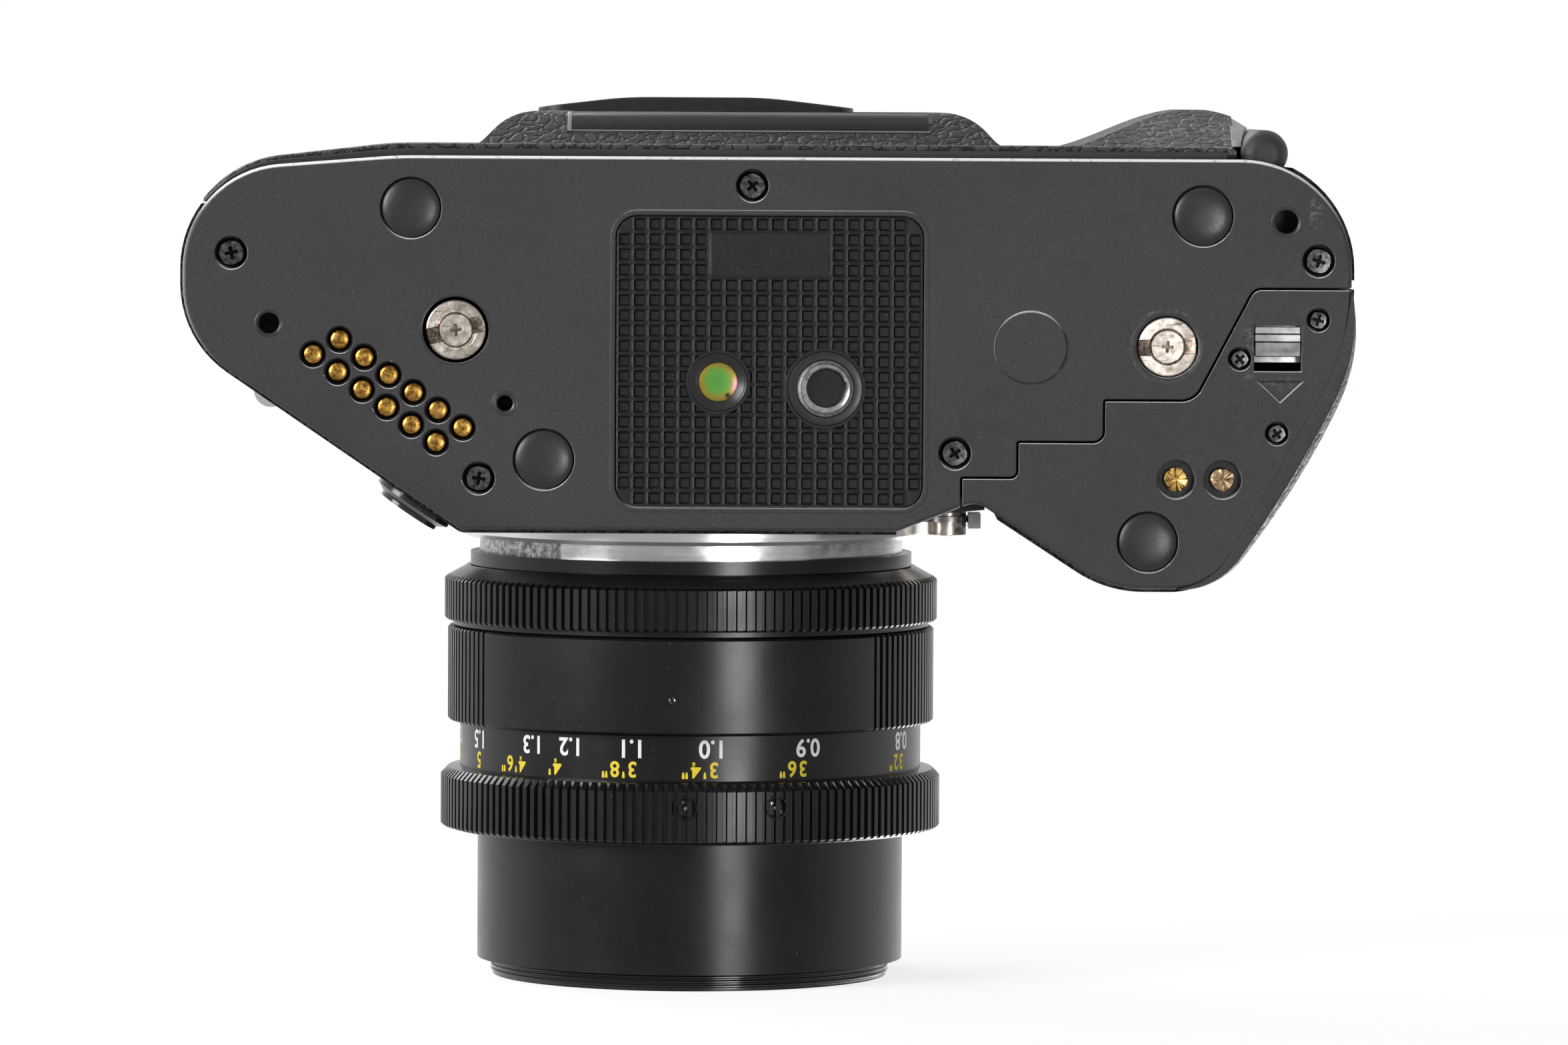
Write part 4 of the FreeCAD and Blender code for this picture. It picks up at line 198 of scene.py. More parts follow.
class Nodes:
    """A small helper that adds shader nodes and links to one material."""

    def __init__(self, name):
        self.material = bpy.data.materials.new(name)
        self.material.use_nodes = True
        self.tree = self.material.node_tree
        self.shader = self.tree.nodes["Principled BSDF"]
        self.place = self.add("ShaderNodeTexCoord").outputs["Object"]

    def add(self, kind, **values):
        made = self.tree.nodes.new(kind)
        for key, value in values.items():
            if hasattr(made, key):
                setattr(made, key, value)
            else:
                made.inputs[key.replace("_", " ")].default_value = value
        return made

    def link(self, source, target):
        self.tree.links.new(source, target)

    def noise(self, per_mm, detail=3.0, roughness=0.55, stretch=None):
        """Noise with a stated number of blots per millimetre."""
        made = self.add("ShaderNodeTexNoise", Scale=per_mm / MM, Detail=detail, Roughness=roughness)
        source = self.place
        if stretch:
            mapping = self.add("ShaderNodeMapping")
            mapping.inputs["Scale"].default_value = stretch
            self.link(self.place, mapping.inputs["Vector"])
            source = mapping.outputs["Vector"]
        self.link(source, made.inputs["Vector"])
        return made.outputs["Fac"]

    def cells(self, per_mm, feature="F1", smooth=None):
        """Cell pattern with a stated number of cells per millimetre."""
        made = self.add("ShaderNodeTexVoronoi", feature=feature, Scale=per_mm / MM)
        if smooth is not None:
            made.inputs["Smoothness"].default_value = smooth
        self.link(self.place, made.inputs["Vector"])
        return made.outputs["Distance"]

    def spread(self, source, low, high, to_low=0.0, to_high=1.0):
        """Maps the span low to high of a pattern on to another span."""
        made = self.add("ShaderNodeMapRange", clamp=True)
        for name, value in (("From Min", low), ("From Max", high), ("To Min", to_low),
                            ("To Max", to_high)):
            made.inputs[name].default_value = value
        self.link(source, made.inputs["Value"])
        return made.outputs["Result"]

    def blots(self, per_mm, detail, low, high, stretch=None):
        """A value that varies in blots between low and high."""
        return self.spread(self.noise(per_mm, detail, stretch=stretch), 0.3, 0.7, low, high)

    def mixed(self, source, first, second):
        """A colour that runs from first to second with a pattern."""
        made = self.add("ShaderNodeMix", data_type="RGBA")
        self.link(source, made.inputs["Factor"])
        for name, value in (("A", first), ("B", second)):
            socket = next(s for s in made.inputs if s.name == name and s.type == "RGBA")
            if isinstance(value, tuple):
                socket.default_value = (*value, 1.0)
            else:
                self.link(value, socket)
        return next(s for s in made.outputs if s.type == "RGBA")

    def plus(self, first, second, operation="ADD"):
        """Two values, each a socket or a number, put together by one operation."""
        made = self.add("ShaderNodeMath", operation=operation)
        for socket, value in zip(made.inputs, (first, second)):
            if isinstance(value, (int, float)):
                socket.default_value = value
            else:
                self.link(value, socket)
        return made.outputs["Value"]

    def bump(self, height, strength, depth_mm):
        """A bump of a stated depth."""
        made = self.add("ShaderNodeBump", Strength=strength, Distance=depth_mm * MM)
        self.link(height, made.inputs["Height"])
        return made.outputs["Normal"]

    def axis(self, name, source=None):
        """One coordinate of the place on the object, or of another vector."""
        parts = self.add("ShaderNodeSeparateXYZ")
        self.link(self.place if source is None else source, parts.inputs[0])
        return parts.outputs[name]

    def away(self, point, weights=(1.0, 1.0, 0.0)):
        """Distance in millimetres from a point, each axis taken by its weight."""
        shifted = self.add("ShaderNodeVectorMath", operation="MULTIPLY_ADD")
        self.link(self.place, shifted.inputs[0])
        shifted.inputs[1].default_value = [w / MM for w in weights]
        shifted.inputs[2].default_value = [-p * w for p, w in zip(point, weights)]
        length = self.add("ShaderNodeVectorMath", operation="LENGTH")
        self.link(shifted.outputs["Vector"], length.inputs[0])
        return length.outputs["Value"]

    def band(self, distance, inner, outer, soft):
        """1 where a distance lies between inner and outer, falling to 0 over the soft width."""
        rise = self.spread(distance, inner - soft, inner)
        fall = self.spread(distance, outer, outer + soft, 1.0, 0.0)
        return self.plus(rise, fall, "MULTIPLY")

    def done(self, colour=None, normal=None, rough=None, **plain):
        """Links the patterns to the shader, sets its plain values and gives back the material."""
        if colour is not None:
            self.link(colour, self.shader.inputs["Base Color"])
        if normal is not None:
            self.link(normal, self.shader.inputs["Normal"])
        if rough is not None:
            self.link(rough, self.shader.inputs["Roughness"])
        for key, value in plain.items():
            self.shader.inputs[key.replace("_", " ")].default_value = value
        return self.material


def grey(level, warm=0.0):
    """A grey, made redder and less blue by the share warm."""
    return (level * (1 + warm), level, level * (1 - warm))


def crinkle_paint():
    """Charcoal paint with a fine worm-like crinkle whose low places are darkened as painted shade, pale
    dust, places rubbed to a paler grey, and a painted highlight: edges that look down and towards +Y or +X
    are painted a pale grey, broken up by a noise."""
    n = Nodes("crinkle_paint")
    crinkle = n.plus(n.cells(4.6, "SMOOTH_F1", 0.5), n.noise(5.5, 2.0), "ADD")
    tone = n.spread(n.noise(0.035, 4.0), 0.35, 0.65)
    colour = n.mixed(tone, (0.0375, 0.0355, 0.0385), (0.0460, 0.0435, 0.0470))
    # Painted shade: the crinkle's low places get a darker grey
    colour = n.mixed(n.spread(crinkle, 0.5, 1.1), n.mixed(tone, grey(0.022), grey(0.027)), colour)
    wear_and_highlight_breakup = n.noise(1.3, 5.0, 0.7)
    # The rim of the wind coupling's hole, the latch, its arrow and the corner behind them
    worn_ring = n.band(n.away((-46.2, 6.0, 0.0)), 4.5, 4.95, 0.25)
    worn_slide = n.spread(n.away((-57.2, 5.5, 0.0), (1.0, 0.28, 0.0)), 0.5, 1.6, 1.0, 0.0)
    worn_arrow = n.spread(n.away((-61.5, 1.2, 0.0), (0.45, 1.0, 0.0)), 0.4, 1.5, 0.8, 0.0)
    worn_edge = n.spread(n.away((-66.2, 24.4, 0.0), (1.0, 0.55, 0.0)), 0.5, 1.6, 1.0, 0.0)
    worn = n.plus(n.plus(worn_ring, worn_slide, "MAXIMUM"), n.plus(worn_arrow, worn_edge, "MAXIMUM"),
                  "MAXIMUM")
    rubbed = n.plus(worn, n.spread(wear_and_highlight_breakup, 0.50, 0.60), "MULTIPLY")
    colour = n.mixed(rubbed, colour, (0.125, 0.118, 0.116))
    # Painted highlight: edges that face +Y or +X and look down turn pale grey, broken up by the same noise
    # as the rubbed places
    facing = n.add("ShaderNodeTexCoord").outputs["Normal"]
    painted_edge_highlight = n.plus(n.spread(n.axis("Y", facing), 0.3, 0.65), n.spread(wear_and_highlight_breakup, 0.28, 0.42), "MULTIPLY")
    painted_edge_highlight = n.plus(painted_edge_highlight, n.spread(n.axis("X", facing), 0.5, 0.9, 0.0, 0.35), "MAXIMUM")
    painted_edge_highlight = n.plus(painted_edge_highlight, n.spread(n.axis("Z", facing), -0.05, -0.3), "MULTIPLY")
    colour = n.mixed(painted_edge_highlight, colour, grey(0.92))
    dust = n.spread(n.noise(5.5, 1.0), 0.755, 0.79)
    colour = n.mixed(dust, colour, grey(0.28))
    rough = n.blots(0.5, 3.0, 0.46, 0.58)
    return n.done(colour, n.bump(crinkle, 0.8, 0.05), rough, Specular_IOR_Level=0.35)


def leatherette(name="leatherette", pale=1.0, pale_below=200.0):
    """Black covering: soft pebbles about two millimetres across, parted by narrow creases that bend with a
    slow noise; the creases are painted darker as shade. Below the level pale_below the pebbles are lightened
    by the factor pale, a painted sheen, and the place of the thumb is rubbed in streaks, most of all low
    down."""
    n = Nodes(name)
    bent = n.add("ShaderNodeVectorMath", operation="MULTIPLY_ADD")
    wobble = n.add("ShaderNodeTexNoise", Scale=0.7 / MM, Detail=3.0)
    n.link(n.place, wobble.inputs["Vector"])
    n.link(wobble.outputs["Color"], bent.inputs[0])
    bent.inputs[1].default_value = (1.3 * MM,) * 3
    n.link(n.place, bent.inputs[2])
    pebbles = n.add("ShaderNodeTexVoronoi", feature="DISTANCE_TO_EDGE", Scale=0.52 / MM)
    n.link(bent.outputs["Vector"], pebbles.inputs["Vector"])
    folds = n.add("ShaderNodeTexVoronoi", feature="DISTANCE_TO_EDGE", Scale=1.5 / MM)
    n.link(bent.outputs["Vector"], folds.inputs["Vector"])
    crown = n.spread(pebbles.outputs["Distance"], 0.0, 0.16)
    wrinkle = n.spread(folds.outputs["Distance"], 0.0, 0.10)
    height = n.plus(crown, n.plus(wrinkle, 0.12, "MULTIPLY"), "ADD")
    height = n.plus(height, n.plus(n.noise(5.0, 2.0), 0.05, "MULTIPLY"), "ADD")
    # Painted sheen: below the level pale_below the pebbles' crests are made paler by the factor pale
    upper = n.spread(n.axis("Z"), (pale_below - 2) * MM, (pale_below + 2) * MM)
    crest = n.mixed(upper, grey(0.0170 * pale, 0.04), grey(0.0170, 0.04))
    # Painted shade: the creases between the pebbles are nearly black
    colour = n.mixed(crown, grey(0.004, 0.04), crest)
    thumb = n.plus(n.spread(n.axis("X"), -40 * MM, -44 * MM), n.spread(n.axis("Y"), 31 * MM, 34 * MM),
                   "MULTIPLY")
    streaks = n.spread(n.noise(2.6, 3.0, stretch=(0.25, 0.8, 0.8)), 0.46, 0.60)
    low_down = n.spread(n.axis("Z"), 30 * MM, 8 * MM, 0.25, 1.0)
    streaks = n.plus(streaks, low_down, "MULTIPLY")
    colour = n.mixed(n.plus(thumb, streaks, "MULTIPLY"), colour, grey(0.17, 0.05))
    rough = n.blots(1.5, 3.0, 0.44, 0.60)
    return n.done(colour, n.bump(height, 0.8, 0.26), rough, Specular_IOR_Level=0.3)


def satin_paint(name, level, rough_low, rough_high, per_mm=2.0, depth=0.012, warm=0.0, gloss=0.5):
    """A dark coat with a fine orange-peel, slightly uneven in tone and gloss."""
    n = Nodes(name)
    colour = n.mixed(n.spread(n.noise(0.08, 4.0), 0.35, 0.65), grey(level * 0.88, warm),
                     grey(level * 1.1, warm))
    rough = n.blots(0.6, 3.0, rough_low, rough_high)
    return n.done(colour, n.bump(n.noise(per_mm, 2.0), 0.4, depth), rough, Specular_IOR_Level=gloss)


def anodised_black():
    """Black anodised aluminium, turned: fine rings run round the lens, with faint dull patches and dust."""
    n = Nodes("anodised_black")
    rings = n.noise(6.0, 2.0, stretch=(0.02, 1.0, 0.02))
    tone = n.spread(n.noise(0.06, 5.0), 0.35, 0.7)
    colour = n.mixed(tone, (0.0050, 0.0046, 0.0046), (0.0085, 0.0079, 0.0080))
    dust = n.spread(n.noise(4.5, 1.0), 0.77, 0.80)
    colour = n.mixed(dust, colour, grey(0.20))
    rough = n.blots(0.12, 5.0, 0.23, 0.31)
    return n.done(colour, n.bump(rings, 0.3, 0.006), rough, Specular_IOR_Level=0.33)


def coupling_nickel():
    """Worn warm nickel with blots and scratches, and painted shade, dull and brown, wherever it lies deep.
    """
    n = Nodes("coupling_nickel")
    colour = n.mixed(n.spread(n.noise(0.9, 6.0, 0.65), 0.38, 0.62), (0.50, 0.43, 0.37), (0.88, 0.80, 0.72))
    scratches = n.noise(2.2, 3.0, stretch=(0.12, 1.0, 1.0))
    colour = n.mixed(n.spread(scratches, 0.60, 0.70), colour, (0.24, 0.19, 0.15))
    # Painted shade: deeper than 0.62 mm the colour turns dark brown
    deep = n.spread(n.axis("Z"), 0.62 * MM, 0.85 * MM)
    deep_shade_colour = n.mixed(n.spread(n.noise(2.5, 4.0), 0.4, 0.6), (0.10, 0.080, 0.066), (0.30, 0.24, 0.19))
    colour = n.mixed(deep, colour, deep_shade_colour)
    rough = n.blots(1.2, 5.0, 0.20, 0.42)
    return n.done(colour, n.bump(n.noise(3.0, 4.0), 0.35, 0.012), rough, Metallic=1.0)


def black_screw():
    """Blackened screw steel with paler blots, and painted shade where the recess lies deep."""
    n = Nodes("black_screw")
    colour = n.mixed(n.spread(n.noise(1.4, 5.0), 0.38, 0.64), grey(0.045), grey(0.17))
    # Painted shade: deeper than 0.5 mm, in the cross recess, the colour turns nearly black
    colour = n.mixed(n.spread(n.axis("Z"), 0.50 * MM, 0.64 * MM), colour, grey(0.008))
    rough = n.blots(1.0, 3.0, 0.22, 0.38)
    return n.done(colour, n.bump(n.noise(3.0, 3.0), 0.4, 0.012), rough, Metallic=1.0)


def bush_steel():
    """Turned steel, dark but for a bare worn bevel at the mouth of the bore, and with painted shade deep
    down.
    """
    n = Nodes("bush_steel")
    away = n.away((0.0, 0.0, 0.0))
    turned = n.spread(n.noise(1.1, 5.0, 0.7), 0.35, 0.65)
    colour = n.mixed(turned, grey(0.10), grey(0.20))
    bare = n.band(away, 2.62, 3.22, 0.10)
    colour = n.mixed(bare, colour, n.mixed(turned, grey(0.24), grey(0.62)))
    # Painted shade: deeper than 0.5 mm the bore turns dark brown
    colour = n.mixed(n.spread(n.axis("Z"), 0.5 * MM, 2.6 * MM), colour, (0.020, 0.016, 0.013))
    rough = n.blots(1.6, 4.0, 0.24, 0.42)
    return n.done(colour, n.bump(n.noise(2.6, 4.0), 0.6, 0.03), rough, Metallic=1.0)


def latch_chrome():
    """Satin chrome in three bands across Y, parted by dark lines of painted shade along the grooves, the
    nearest band duller.
    """
    n = Nodes("latch_chrome")
    tone = n.spread(n.noise(0.8, 4.0, stretch=(0.2, 1.0, 1.0)), 0.35, 0.65)
    colour = n.mixed(tone, grey(0.60), grey(0.88))
    lower = n.mixed(tone, grey(0.34), grey(0.56))
    colour = n.mixed(n.spread(n.axis("Y"), 6.58 * MM, 6.68 * MM), lower, colour)
    # Painted shade: nearly black lines along the two grooves between the steps
    for line in (7.71, 6.65):
        groove_shade = n.spread(n.away((0.0, line, 0.0), (0.0, 1.0, 0.0)), 0.06, 0.13, 1.0, 0.0)
        colour = n.mixed(groove_shade, colour, grey(0.01))
    rough = n.blots(0.6, 3.0, 0.22, 0.36)
    return n.done(colour, n.bump(n.noise(4.0, 3.0), 0.3, 0.006), rough, Metallic=1.0)


def bayonet_chrome():
    """Brushed chrome with one dull scratched claw towards +X."""
    n = Nodes("bayonet_chrome")
    brushed = n.noise(0.9, 4.0, stretch=(0.05, 1.0, 0.05))
    colour = n.mixed(n.spread(brushed, 0.35, 0.65), grey(0.55), grey(0.78))
    blots = n.mixed(n.spread(n.noise(1.1, 6.0, 0.7), 0.40, 0.60), grey(0.09), grey(0.42))
    claw = n.plus(n.spread(n.axis("X"), 36.0 * MM, 36.3 * MM),
                  n.spread(n.axis("Z"), 41.0 * MM, 42.0 * MM, 1.0, 0.0), "MULTIPLY")
    colour = n.mixed(claw, colour, blots)
    rough = n.blots(0.4, 4.0, 0.18, 0.32)
    return n.done(colour, n.bump(brushed, 0.3, 0.006), rough, Metallic=1.0)


def pad_rubber():
    """Moulded rubber with dust lying on it, uneven in tone, and painted shade that darkens the pit floors.
    """
    n = Nodes("pad_rubber")
    colour = n.mixed(n.spread(n.noise(0.3, 4.0), 0.3, 0.75), grey(0.0085), grey(0.0125))
    # Painted shade: deeper than 0.3 mm, on the pit floors, the rubber turns darker
    colour = n.mixed(n.spread(n.axis("Z"), 0.3 * MM, 0.6 * MM), colour, grey(0.0068))
    dust = n.spread(n.noise(5.0, 2.0), 0.70, 0.76)
    colour = n.mixed(dust, colour, grey(0.20))
    rough = n.blots(1.5, 3.0, 0.32, 0.44)
    return n.done(colour, n.bump(n.noise(7.0, 2.0), 0.4, 0.012), rough, Specular_IOR_Level=0.32)


def metal(name, low, high, rough_low, rough_high, per_mm=0.5, stretch=None, depth=0.004, grain=5.0,
          mirrors=1.0):
    """A bare or plated metal whose tone and gloss vary in blots, with a fine brushed grain."""
    n = Nodes(name)
    pattern = n.noise(per_mm, 5.0, stretch=stretch)
    colour = n.mixed(n.spread(pattern, 0.35, 0.65), low, high)
    rough = n.blots(per_mm * 2, 4.0, rough_low, rough_high, stretch)
    normal = n.bump(n.noise(grain, 3.0, stretch=stretch), 0.3, depth)
    return n.done(colour, normal, rough, Metallic=mirrors)


def film_lustre():
    """A coated disc: green in the middle, amber towards its rim, rose on one side, over a fine grain."""
    n = Nodes("film_lustre")
    ramp = n.add("ShaderNodeValToRGB")
    ramp.color_ramp.elements[0].color = (0.09, 0.33, 0.06, 1)
    ramp.color_ramp.elements[1].color = (0.30, 0.20, 0.02, 1)
    ramp.color_ramp.elements.new(0.55).color = (0.13, 0.36, 0.05, 1)
    ramp.color_ramp.elements.new(0.8).color = (0.30, 0.26, 0.03, 1)
    wavering = n.plus(n.away((14.6, 0.9, 0.0)), n.noise(0.5, 2.0), "ADD")
    n.link(n.spread(wavering, 0.5, 3.1), ramp.inputs["Fac"])
    rose = n.spread(n.away((11.5, 0.2, 0.0)), 0.5, 1.6, 1.0, 0.0)
    colour = n.mixed(rose, ramp.outputs["Color"], (0.52, 0.16, 0.24))
    speck = n.spread(n.away((13.2, -1.0, 0.0)), 0.2, 0.5, 1.0, 0.0)
    colour = n.mixed(speck, colour, grey(0.01))
    return n.done(colour, n.bump(n.noise(9.0, 2.0), 0.5, 0.02), Metallic=0.35, Roughness=0.3)


def clear_glass(name, tint, rough=0.0):
    """Polished glass, very slightly uneven, with a faint tint."""
    n = Nodes(name)
    colour = n.mixed(n.spread(n.noise(0.05, 2.0), 0.3, 0.7), tint, tuple(0.96 * c for c in tint))
    return n.done(colour, Transmission_Weight=1.0, Roughness=rough, IOR=1.52)


def coated_glass():
    """Dark lens glass with painted reflections: rings about the lens axis stand for the groups behind,
    violet in the middle, then blue-green and a thin amber ring, and all turn paler at grazing angles as a
    painted sheen."""
    n = Nodes("coated_glass")
    reach = n.away((AXIS_X, 0.0, AXIS_Z), (1.0, 0.0, 1.0))
    # Painted reflections: coloured rings about the lens axis
    ramp = n.add("ShaderNodeValToRGB")
    ramp.color_ramp.elements[0].color = (0.006, 0.004, 0.014, 1)
    ramp.color_ramp.elements[1].color = (0.004, 0.004, 0.005, 1)
    for place, colour in ((0.30, (0.010, 0.006, 0.022, 1)), (0.33, (0.030, 0.014, 0.040, 1)),
                          (0.36, (0.006, 0.008, 0.014, 1)), (0.60, (0.005, 0.012, 0.014, 1)),
                          (0.63, (0.045, 0.026, 0.008, 1)), (0.66, (0.006, 0.006, 0.007, 1))):
        ramp.color_ramp.elements.new(place).color = colour
    n.link(n.spread(n.plus(reach, n.plus(n.noise(0.05, 1.0), 0.6, "MULTIPLY"), "ADD"), 0.0, 21.0),
           ramp.inputs["Fac"])
    # Painted sheen: paler at grazing angles
    grazing = n.add("ShaderNodeLayerWeight", Blend=0.3).outputs["Facing"]
    colour = n.mixed(grazing, ramp.outputs["Color"], (0.030, 0.034, 0.045))
    return n.done(colour, Roughness=0.04, Specular_IOR_Level=0.7)


def figure_paint(name, tint):
    """Engraved and filled figures: an even paint with tiny worn specks."""
    n = Nodes(name)
    colour = n.mixed(n.spread(n.noise(3.0, 3.0), 0.66, 0.74), tint, tuple(0.5 * c for c in tint))
    return n.done(colour, Roughness=0.6)


# Level, lowest and highest roughness, grain per millimetre, its depth, warmth and gloss
SATIN = {
    "foot_rubber": (0.021, 0.30, 0.40, 3.4, 0.03),
    "insert_metal": (0.025, 0.35, 0.5),
    "black_plastic": (0.022, 0.36, 0.5, 3.0, 0.02),
    "cast_alloy": (0.05, 0.45, 0.6),
    "matt_black": (0.012, 0.8, 0.9),
    "shutter_metal": (0.03, 0.4, 0.5),
    "top_paint": (0.034, 0.42, 0.55, 2.6, 0.04),
    "cap_metal": (0.020, 0.15, 0.25),
    "control_metal": (0.022, 0.34, 0.46),
    "lever_paint": (0.022, 0.34, 0.46),
    "spool_plastic": (0.02, 0.3, 0.45),
    "cell_wrap": (0.20, 0.25, 0.35),
    "door_paint": (0.022, 0.46, 0.6, 3.0, 0.04),
    "panel_gloss": (0.006, 0.2, 0.3, 0.3, 0.01, 0.0, 0.12),
    "panel_frame": (0.22, 0.25, 0.4, 2.0, 0.012, 0.03),
    "gloss_black": (0.015, 0.12, 0.2, 0.8, 0.004),
    "plate_metal": (0.05, 0.25, 0.35),
    "curtain_metal": (0.035, 0.35, 0.45),
    "iris_metal": (0.02, 0.4, 0.5),
    # painted_edge_highlight: an even pale grey painted as a highlight on the thumb rest's end
    "painted_edge_highlight": (0.40, 0.4, 0.5, 2.0, 0.012, 0.05),
    "lip_paint": (0.026, 0.28, 0.4, 3.0, 0.008),
    "socket_plastic": (0.010, 0.5, 0.65, 2.0, 0.012, 0.0, 0.25),
    "collar_rubber": (0.014, 0.3, 0.42),
}
# Darkest and palest colour, lowest and highest roughness, blots per millimetre, stretch, depth, grain
# and share of metal
METALS = {
    "gold": ((0.22, 0.10, 0.018), (0.74, 0.42, 0.10), 0.20, 0.45, 1.6, None, 0.06, 2.6),
    "chrome": (grey(0.78), grey(0.95), 0.16, 0.28, 0.3, (0.1, 1.0, 0.1), 0.004, 5.0, 0.72),
    "shoe_steel": (grey(0.34), grey(0.46), 0.28, 0.4, 0.5, (1.0, 0.05, 1.0)),
    "nickel": ((0.50, 0.43, 0.37), (0.74, 0.67, 0.60), 0.22, 0.38, 0.6, None, 0.006),
    "lever_metal": (grey(0.28), grey(0.40), 0.3, 0.42),
    "mirror_glass": (grey(0.86), grey(0.9), 0.02, 0.05, 0.5, None, 0.0),
    "lens_screw": (grey(0.12), grey(0.36), 0.2, 0.34, 1.5, None, 0.01),
    "brass": ((0.45, 0.26, 0.07), (0.80, 0.55, 0.20), 0.25, 0.45, 1.0, None, 0.02),
    "bronze": ((0.34, 0.22, 0.12), (0.60, 0.42, 0.26), 0.25, 0.5, 1.0, None, 0.03),
}
LOOKS = {make.__name__: make() for make in (
    crinkle_paint, pad_rubber, black_screw, bush_steel, coupling_nickel, leatherette, bayonet_chrome,
    coated_glass, anodised_black, latch_chrome)}
LOOKS.update({name: satin_paint(name, *values) for name, values in SATIN.items()})
LOOKS.update({name: metal(name, *values) for name, values in METALS.items()})
LOOKS["screen"] = clear_glass("screen", (0.85, 0.86, 0.86), 0.5)
LOOKS["optical_glass"] = clear_glass("optical_glass", (0.93, 0.96, 0.98))
# Leather on the grip's side, painted paler below 9 mm as a sheen, and a paler copy for the door's lip, also
# a painted sheen
LOOKS["sheen_painted_leather"] = leatherette("sheen_painted_leather", pale=11.0, pale_below=9.0)
LOOKS["sheen_painted_edge_leather"] = leatherette("sheen_painted_edge_leather", pale=3.2)
FILM_LUSTRE = film_lustre()
FIGURE_WHITE = figure_paint("figure_white", (0.85, 0.85, 0.83))
FIGURE_YELLOW = figure_paint("figure_yellow", (0.80, 0.62, 0.03))

SLOT_OF = {item["node"]: item["material_slot"] for item in frame["record"]["subparts"]}
LOOK_OF = {"lens_bayonet": "bayonet_chrome"}
for node_name, node_object in NODES.items():
    look = LOOKS[LOOK_OF.get(node_name, SLOT_OF[node_name])]
    if not node_object.material_slots:
        node_object.data.materials.append(look)
    for slot in node_object.material_slots:
        slot.material = look


# Lens rings

RIBS = 160
RIB_DEEP = 0.5
APERTURE_PLAIN = (133.0, 227.0)
FIXED_PLAIN = (-56.0, 49.0)
SCALE_R = 32.3


def rounded_ring(bore, rims, weights=None, chamfer=0.25):
    """Closed ring profile of (radius, y): the outer line given by rims from rear to front, each step
    kept, with the ends chamfered, then back along the bore."""
    outer = [(rims[0][0] - chamfer, rims[0][1]), (rims[0][0], rims[0][1] - chamfer)]
    outer += list(rims[1:-1])
    outer += [(rims[-1][0], rims[-1][1] + chamfer), (rims[-1][0] - chamfer, rims[-1][1])]
    weights = weights or [0] * len(rims)
    spread = [weights[0], weights[0], *weights[1:-1], weights[-1], weights[-1]]
    profile = [(bore, rims[0][1])] + outer + [(bore, rims[-1][1])]
    return profile, [0] + spread + [0]


def ribbed_ring(node, body, profile, weight, plain=None):
    """A ring about the lens axis whose profile is cut by ribs wherever its weight isn't 0."""
    turns, sink = rib_turns(RIBS, plain)
    piece(node + "_ribbed", [about_lens(profile, turns, sink * RIB_DEEP, weight)],
          LOOKS["anodised_black"], body, [node])


def aperture_ring():
    """A cone that opens to a rim of ribs, plain where the figures stand, then a short plain neck."""
    low, high = box_mm("aperture_ring")
    outer = (high[0] - low[0]) / 2
    rear, front = high[1], low[1]
    rib_rear, rib_front, neck = -27.7, -33.7, 33.3
    profile, weight = rounded_ring(30.3, [
        (31.5, rear), (outer - RIB_DEEP - 0.25, rib_rear + 0.25), (outer - 0.3, rib_rear),
        (outer, rib_rear - 0.3), (outer, rib_front + 0.3), (outer - 0.3, rib_front),
        (neck, rib_front), (neck, front)], [0, 0, 1, 1, 1, 1, 0, 0], 0.1)
    ribbed_ring("aperture_ring", "aperture_ring", profile, weight, APERTURE_PLAIN)


def fixed_ring():
    """A plain band with ribs round its sides and top."""
    low, high = box_mm("lens_fixed_ring")
    outer = (high[0] - low[0]) / 2
    profile, weight = rounded_ring(30.0, [
        (outer, high[1]), (outer, high[1] - 0.5), (outer, low[1] + 0.5), (outer, low[1])],
        [1, 1, 1, 1], 0.3)
    ribbed_ring("lens_fixed_ring", "lens", profile, weight, FIXED_PLAIN)


def focus_ring():
    """The distance scale, a step and a wide ribbed grip."""
    low, high = box_mm("focus_ring")
    outer = (high[0] - low[0]) / 2
    rear, front = high[1], low[1]
    scale_front, rib_rear = -54.2, -55.2
    profile, weight = rounded_ring(30.3, [
        (SCALE_R, rear), (SCALE_R, scale_front), (outer - RIB_DEEP - 0.5, scale_front - 0.25),
        (outer - 0.35, rib_rear + 0.1), (outer, rib_rear - 0.3), (outer, front + 0.6),
        (outer - 0.3, front + 0.3), (outer - 1.2, front)], [0, 0, 0, 1, 1, 1, 1, 0], 0.1)
    ribbed_ring("focus_ring", "focus_ring", profile, weight)


aperture_ring()
fixed_ring()
focus_ring()


# Figures on the distance scale

FIGURE_LIFT = 0.015
FIGURE_WIDE = 0.92
MARK_SPACING = 1.22


def figure_mesh(name, words, height):
    """Flat figures made a mesh: their points in millimetres about their middle, and the object."""
    font = bpy.data.curves.new(name, "FONT")
    font.body = words
    font.size = 1.0
    font.align_x = "CENTER"
    font.align_y = "CENTER"
    font.space_character = MARK_SPACING if "'" in words or '"' in words else 1.0
    font.offset = 0.022
    holder = bpy.data.objects.new(name, font)
    bpy.context.scene.collection.objects.link(holder)
    mesh = bpy.data.meshes.new_from_object(holder)
    bpy.data.objects.remove(holder)
    bpy.data.curves.remove(font)
    flat = mesh_points(mesh)[:, :2]
    middle = (flat.max(axis=0) + flat.min(axis=0)) / 2
    scale = height / (flat[:, 1].max() - flat[:, 1].min())
    thing = bpy.data.objects.new(name, mesh)
    bpy.context.scene.collection.objects.link(thing)
    return (flat - middle) * scale * np.array([FIGURE_WIDE, 1.0]), thing


